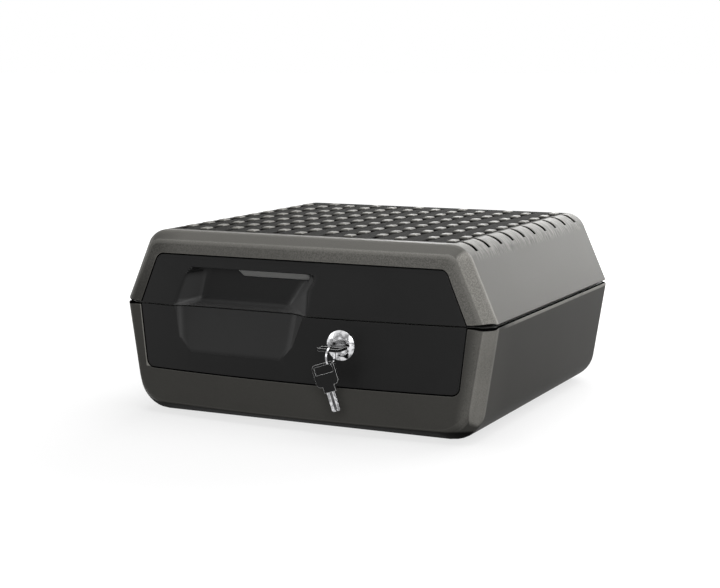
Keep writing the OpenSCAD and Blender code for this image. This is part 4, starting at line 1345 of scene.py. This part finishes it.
def along_spare(name, width, thick, start, reach, y):
    """A block along the spare key, from a distance below the middle of its bow."""
    low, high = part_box("spare_key_bow")
    centre, hang = (low + high) / 2, chest().lock.hang
    down = Vector((math.sin(hang), 0, -math.cos(hang)))
    return new_piece(
        name, bpy.ops.mesh.primitive_cube_add, size=1,
        location=Vector((centre.x, y, centre.z)) + down * (start + reach / 2),
        rotation=(0, math.pi - hang, 0), scale=(width, thick, reach),
    )


def neck(piece):
    """The spare key's bow reaches down over the blade's shoulder."""
    low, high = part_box("spare_key_bow")
    thick, middle_y = high.y - low.y, (low.y + high.y) / 2
    carve(piece, along_spare("neck", 12 * MM, thick, 9 * MM, 7.5 * MM, middle_y), how="UNION")


def channel(piece):
    """Wide milled channels on both sides of the spare key's blade."""
    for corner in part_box("spare_key_blade"):
        carve(piece, along_spare("channel", 2.8 * MM, 1.2 * MM, 15 * MM, 18 * MM, corner.y))


class CHEST_OT_keys(bpy.types.Operator):
    """Both keys and their split ring"""

    bl_idname = "chest.keys"
    bl_label = "Keys and ring"

    def execute(self, context):
        for key in ("lock_key", "spare_key"):
            dressed(key + "_bow", 0.5 * MM, 3, shape=neck if key == "spare_key" else None)
            low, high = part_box(key + "_blade")
            flat = min(range(3), key=lambda axis: high[axis] - low[axis])
            mid, half = (low[flat] + high[flat]) / 2, (high[flat] - low[flat]) / 2

            # the floors of the blade's milled grooves, which get painted shade
            def milled(face):
                return abs(face.normal[flat]) > 0.5 and abs(face.center[flat] - mid) < half * 0.75

            dressed(
                key + "_blade", 0.15 * MM, groove=milled, shape=channel if key == "spare_key" else None
            )
        dressed("split_ring", 0.25 * MM)
        return {"FINISHED"}


class CHEST_OT_hinges(bpy.types.Operator):
    """Hinge leaves and pins"""

    bl_idname = "chest.hinges"
    bl_label = "Hinges"

    def execute(self, context):
        for node in ("base_hinges", "lid_hinges", "hinge_pins"):
            dressed(node, 0.35 * MM)
        return {"FINISHED"}


class CHEST_OT_screws(bpy.types.Operator):
    """Screws of the hinges, the latch and the lock"""

    bl_idname = "chest.screws"
    bl_label = "Screws"

    def execute(self, context):
        for node in (
            "base_hinge_screws", "lid_hinge_screws", "bracket_screws", "keeper_screws", "strike_screws",
            "cam_screw",
        ):
            dressed(node, 0.2 * MM)
        return {"FINISHED"}


# Studio


def lamp(name, power, size, at, aim):
    """A soft lamp that looks at a point."""
    bpy.ops.object.select_all(action="DESELECT")
    turned = (aim - at).to_track_quat("-Z", "Y").to_euler()
    bpy.ops.object.light_add(type="AREA", location=at, rotation=turned)
    made = bpy.context.active_object
    made.name = name
    made.data.energy, made.data.shape = power, "RECTANGLE"
    made.data.size, made.data.size_y = size


class CHEST_OT_studio(bpy.types.Operator):
    """Camera, pale floor, soft lamps and white surroundings"""

    bl_idname = "chest.studio"
    bl_label = "Studio"

    def execute(self, context):
        scene, studio = context.scene, chest().studio
        turned = (
            Matrix.Rotation(studio.yaw, 3, "Z")
            @ Matrix.Rotation(math.pi / 2 - studio.pitch, 3, "X")
            @ Matrix.Rotation(studio.roll, 3, "Z")
        )
        bpy.ops.object.select_all(action="DESELECT")
        bpy.ops.object.camera_add(location=place(*studio.eye), rotation=turned.to_euler())
        camera = context.active_object
        camera.name = "photo_camera"
        camera.data.sensor_width, camera.data.sensor_fit = 36, "HORIZONTAL"
        camera.data.lens = studio.lens
        camera.data.clip_start, camera.data.clip_end = 0.05, 100
        scene.camera = camera
        self.floor()
        self.world(scene)
        for name, size, at in (
            ("top", (1.6, 1.4), (0.1, 0.15, 1.5)),
            ("rear", (2.2, 1.1), (0.25, 1.5, 0.7)),
            ("right", (1.0, 0.8), (0.75, -1.7, 0.6)),
            ("left", (0.9, 0.9), (-1.7, -0.9, 0.7)),
        ):
            lamp(name + "_lamp", getattr(studio, name), size, Vector(at), Vector((0, 0, 0.09)))
        scene.view_settings.view_transform = "Standard"
        return {"FINISHED"}

    def floor(self):
        """A plain floor that the camera sees as white, with the chest's shadow on it."""
        floor = new_piece("studio_floor", bpy.ops.mesh.primitive_plane_add, size=60, location=(0, 0, 0))
        f = Finish("pale_floor", chest().colours.floor)
        matt = f.node("BsdfDiffuse", {"Color": four(f.colour)})
        away = f.node("VectorMath", {0: f.where}, operation="LENGTH").outputs["Value"]
        strength = f.ramp(away, 0.25, 1.0) * 0.28 + 0.72
        glow = f.node("Emission", {"Color": (1, 1, 1, 1), "Strength": strength})
        both = f.node("AddShader", {0: matt.outputs[0], 1: glow.outputs[0]})
        shader = f.node("MixShader", {0: f.seen(), 1: matt.outputs[0], 2: both.outputs[0]})
        f.end("OutputMaterial", shader)
        floor.data.materials.append(f.material)

    def world(self, scene):
        """White where the camera, a reflection or glass sees it, and softer as light."""
        scene.world = scene.world or bpy.data.worlds.new("surroundings")
        nodes, sky = Nodes(scene.world), chest().studio.sky
        strength = nodes.seen() * (1 - sky) + sky
        nodes.end("OutputWorld", nodes.node("Background", {"Color": (1, 1, 1, 1), "Strength": strength}))


STEPS = (
    CHEST_OT_studio,
    CHEST_OT_base_shell,
    CHEST_OT_lid_shell,
    CHEST_OT_panels,
    CHEST_OT_inside,
    CHEST_OT_feet,
    CHEST_OT_latch,
    CHEST_OT_lock,
    CHEST_OT_keys,
    CHEST_OT_hinges,
    CHEST_OT_screws,
)


class CHEST_PT_steps(bpy.types.Panel):
    """Lists the chest's pieces and their settings"""

    bl_idname = "CHEST_PT_steps"
    bl_label = "Fire chest"
    bl_space_type = "VIEW_3D"
    bl_region_type = "UI"
    bl_category = "Fire chest"

    def draw(self, context):
        for step in STEPS:
            self.layout.operator(step.bl_idname)
        for name in Chest.__annotations__:
            box = self.layout.box()
            settings = getattr(context.scene.chest, name)
            for setting in settings.__annotations__:
                box.prop(settings, setting)


GROUPS = (ShellSizes, TreadSizes, PanelSizes, PocketSizes, LockSizes, Colours, Studio, Chest)
KINDS = (*GROUPS, *STEPS, CHEST_PT_steps)


def register():
    for kind in KINDS:
        bpy.utils.register_class(kind)
    bpy.types.Scene.chest = group(Chest, "Fire chest")


def unregister():
    del bpy.types.Scene.chest
    for kind in reversed(KINDS):
        bpy.utils.unregister_class(kind)


def main():
    """Builds every piece."""
    register()
    for step in STEPS:
        space, name = step.bl_idname.split(".")
        getattr(getattr(bpy.ops, space), name)()


if __name__ == "__main__":
    main()
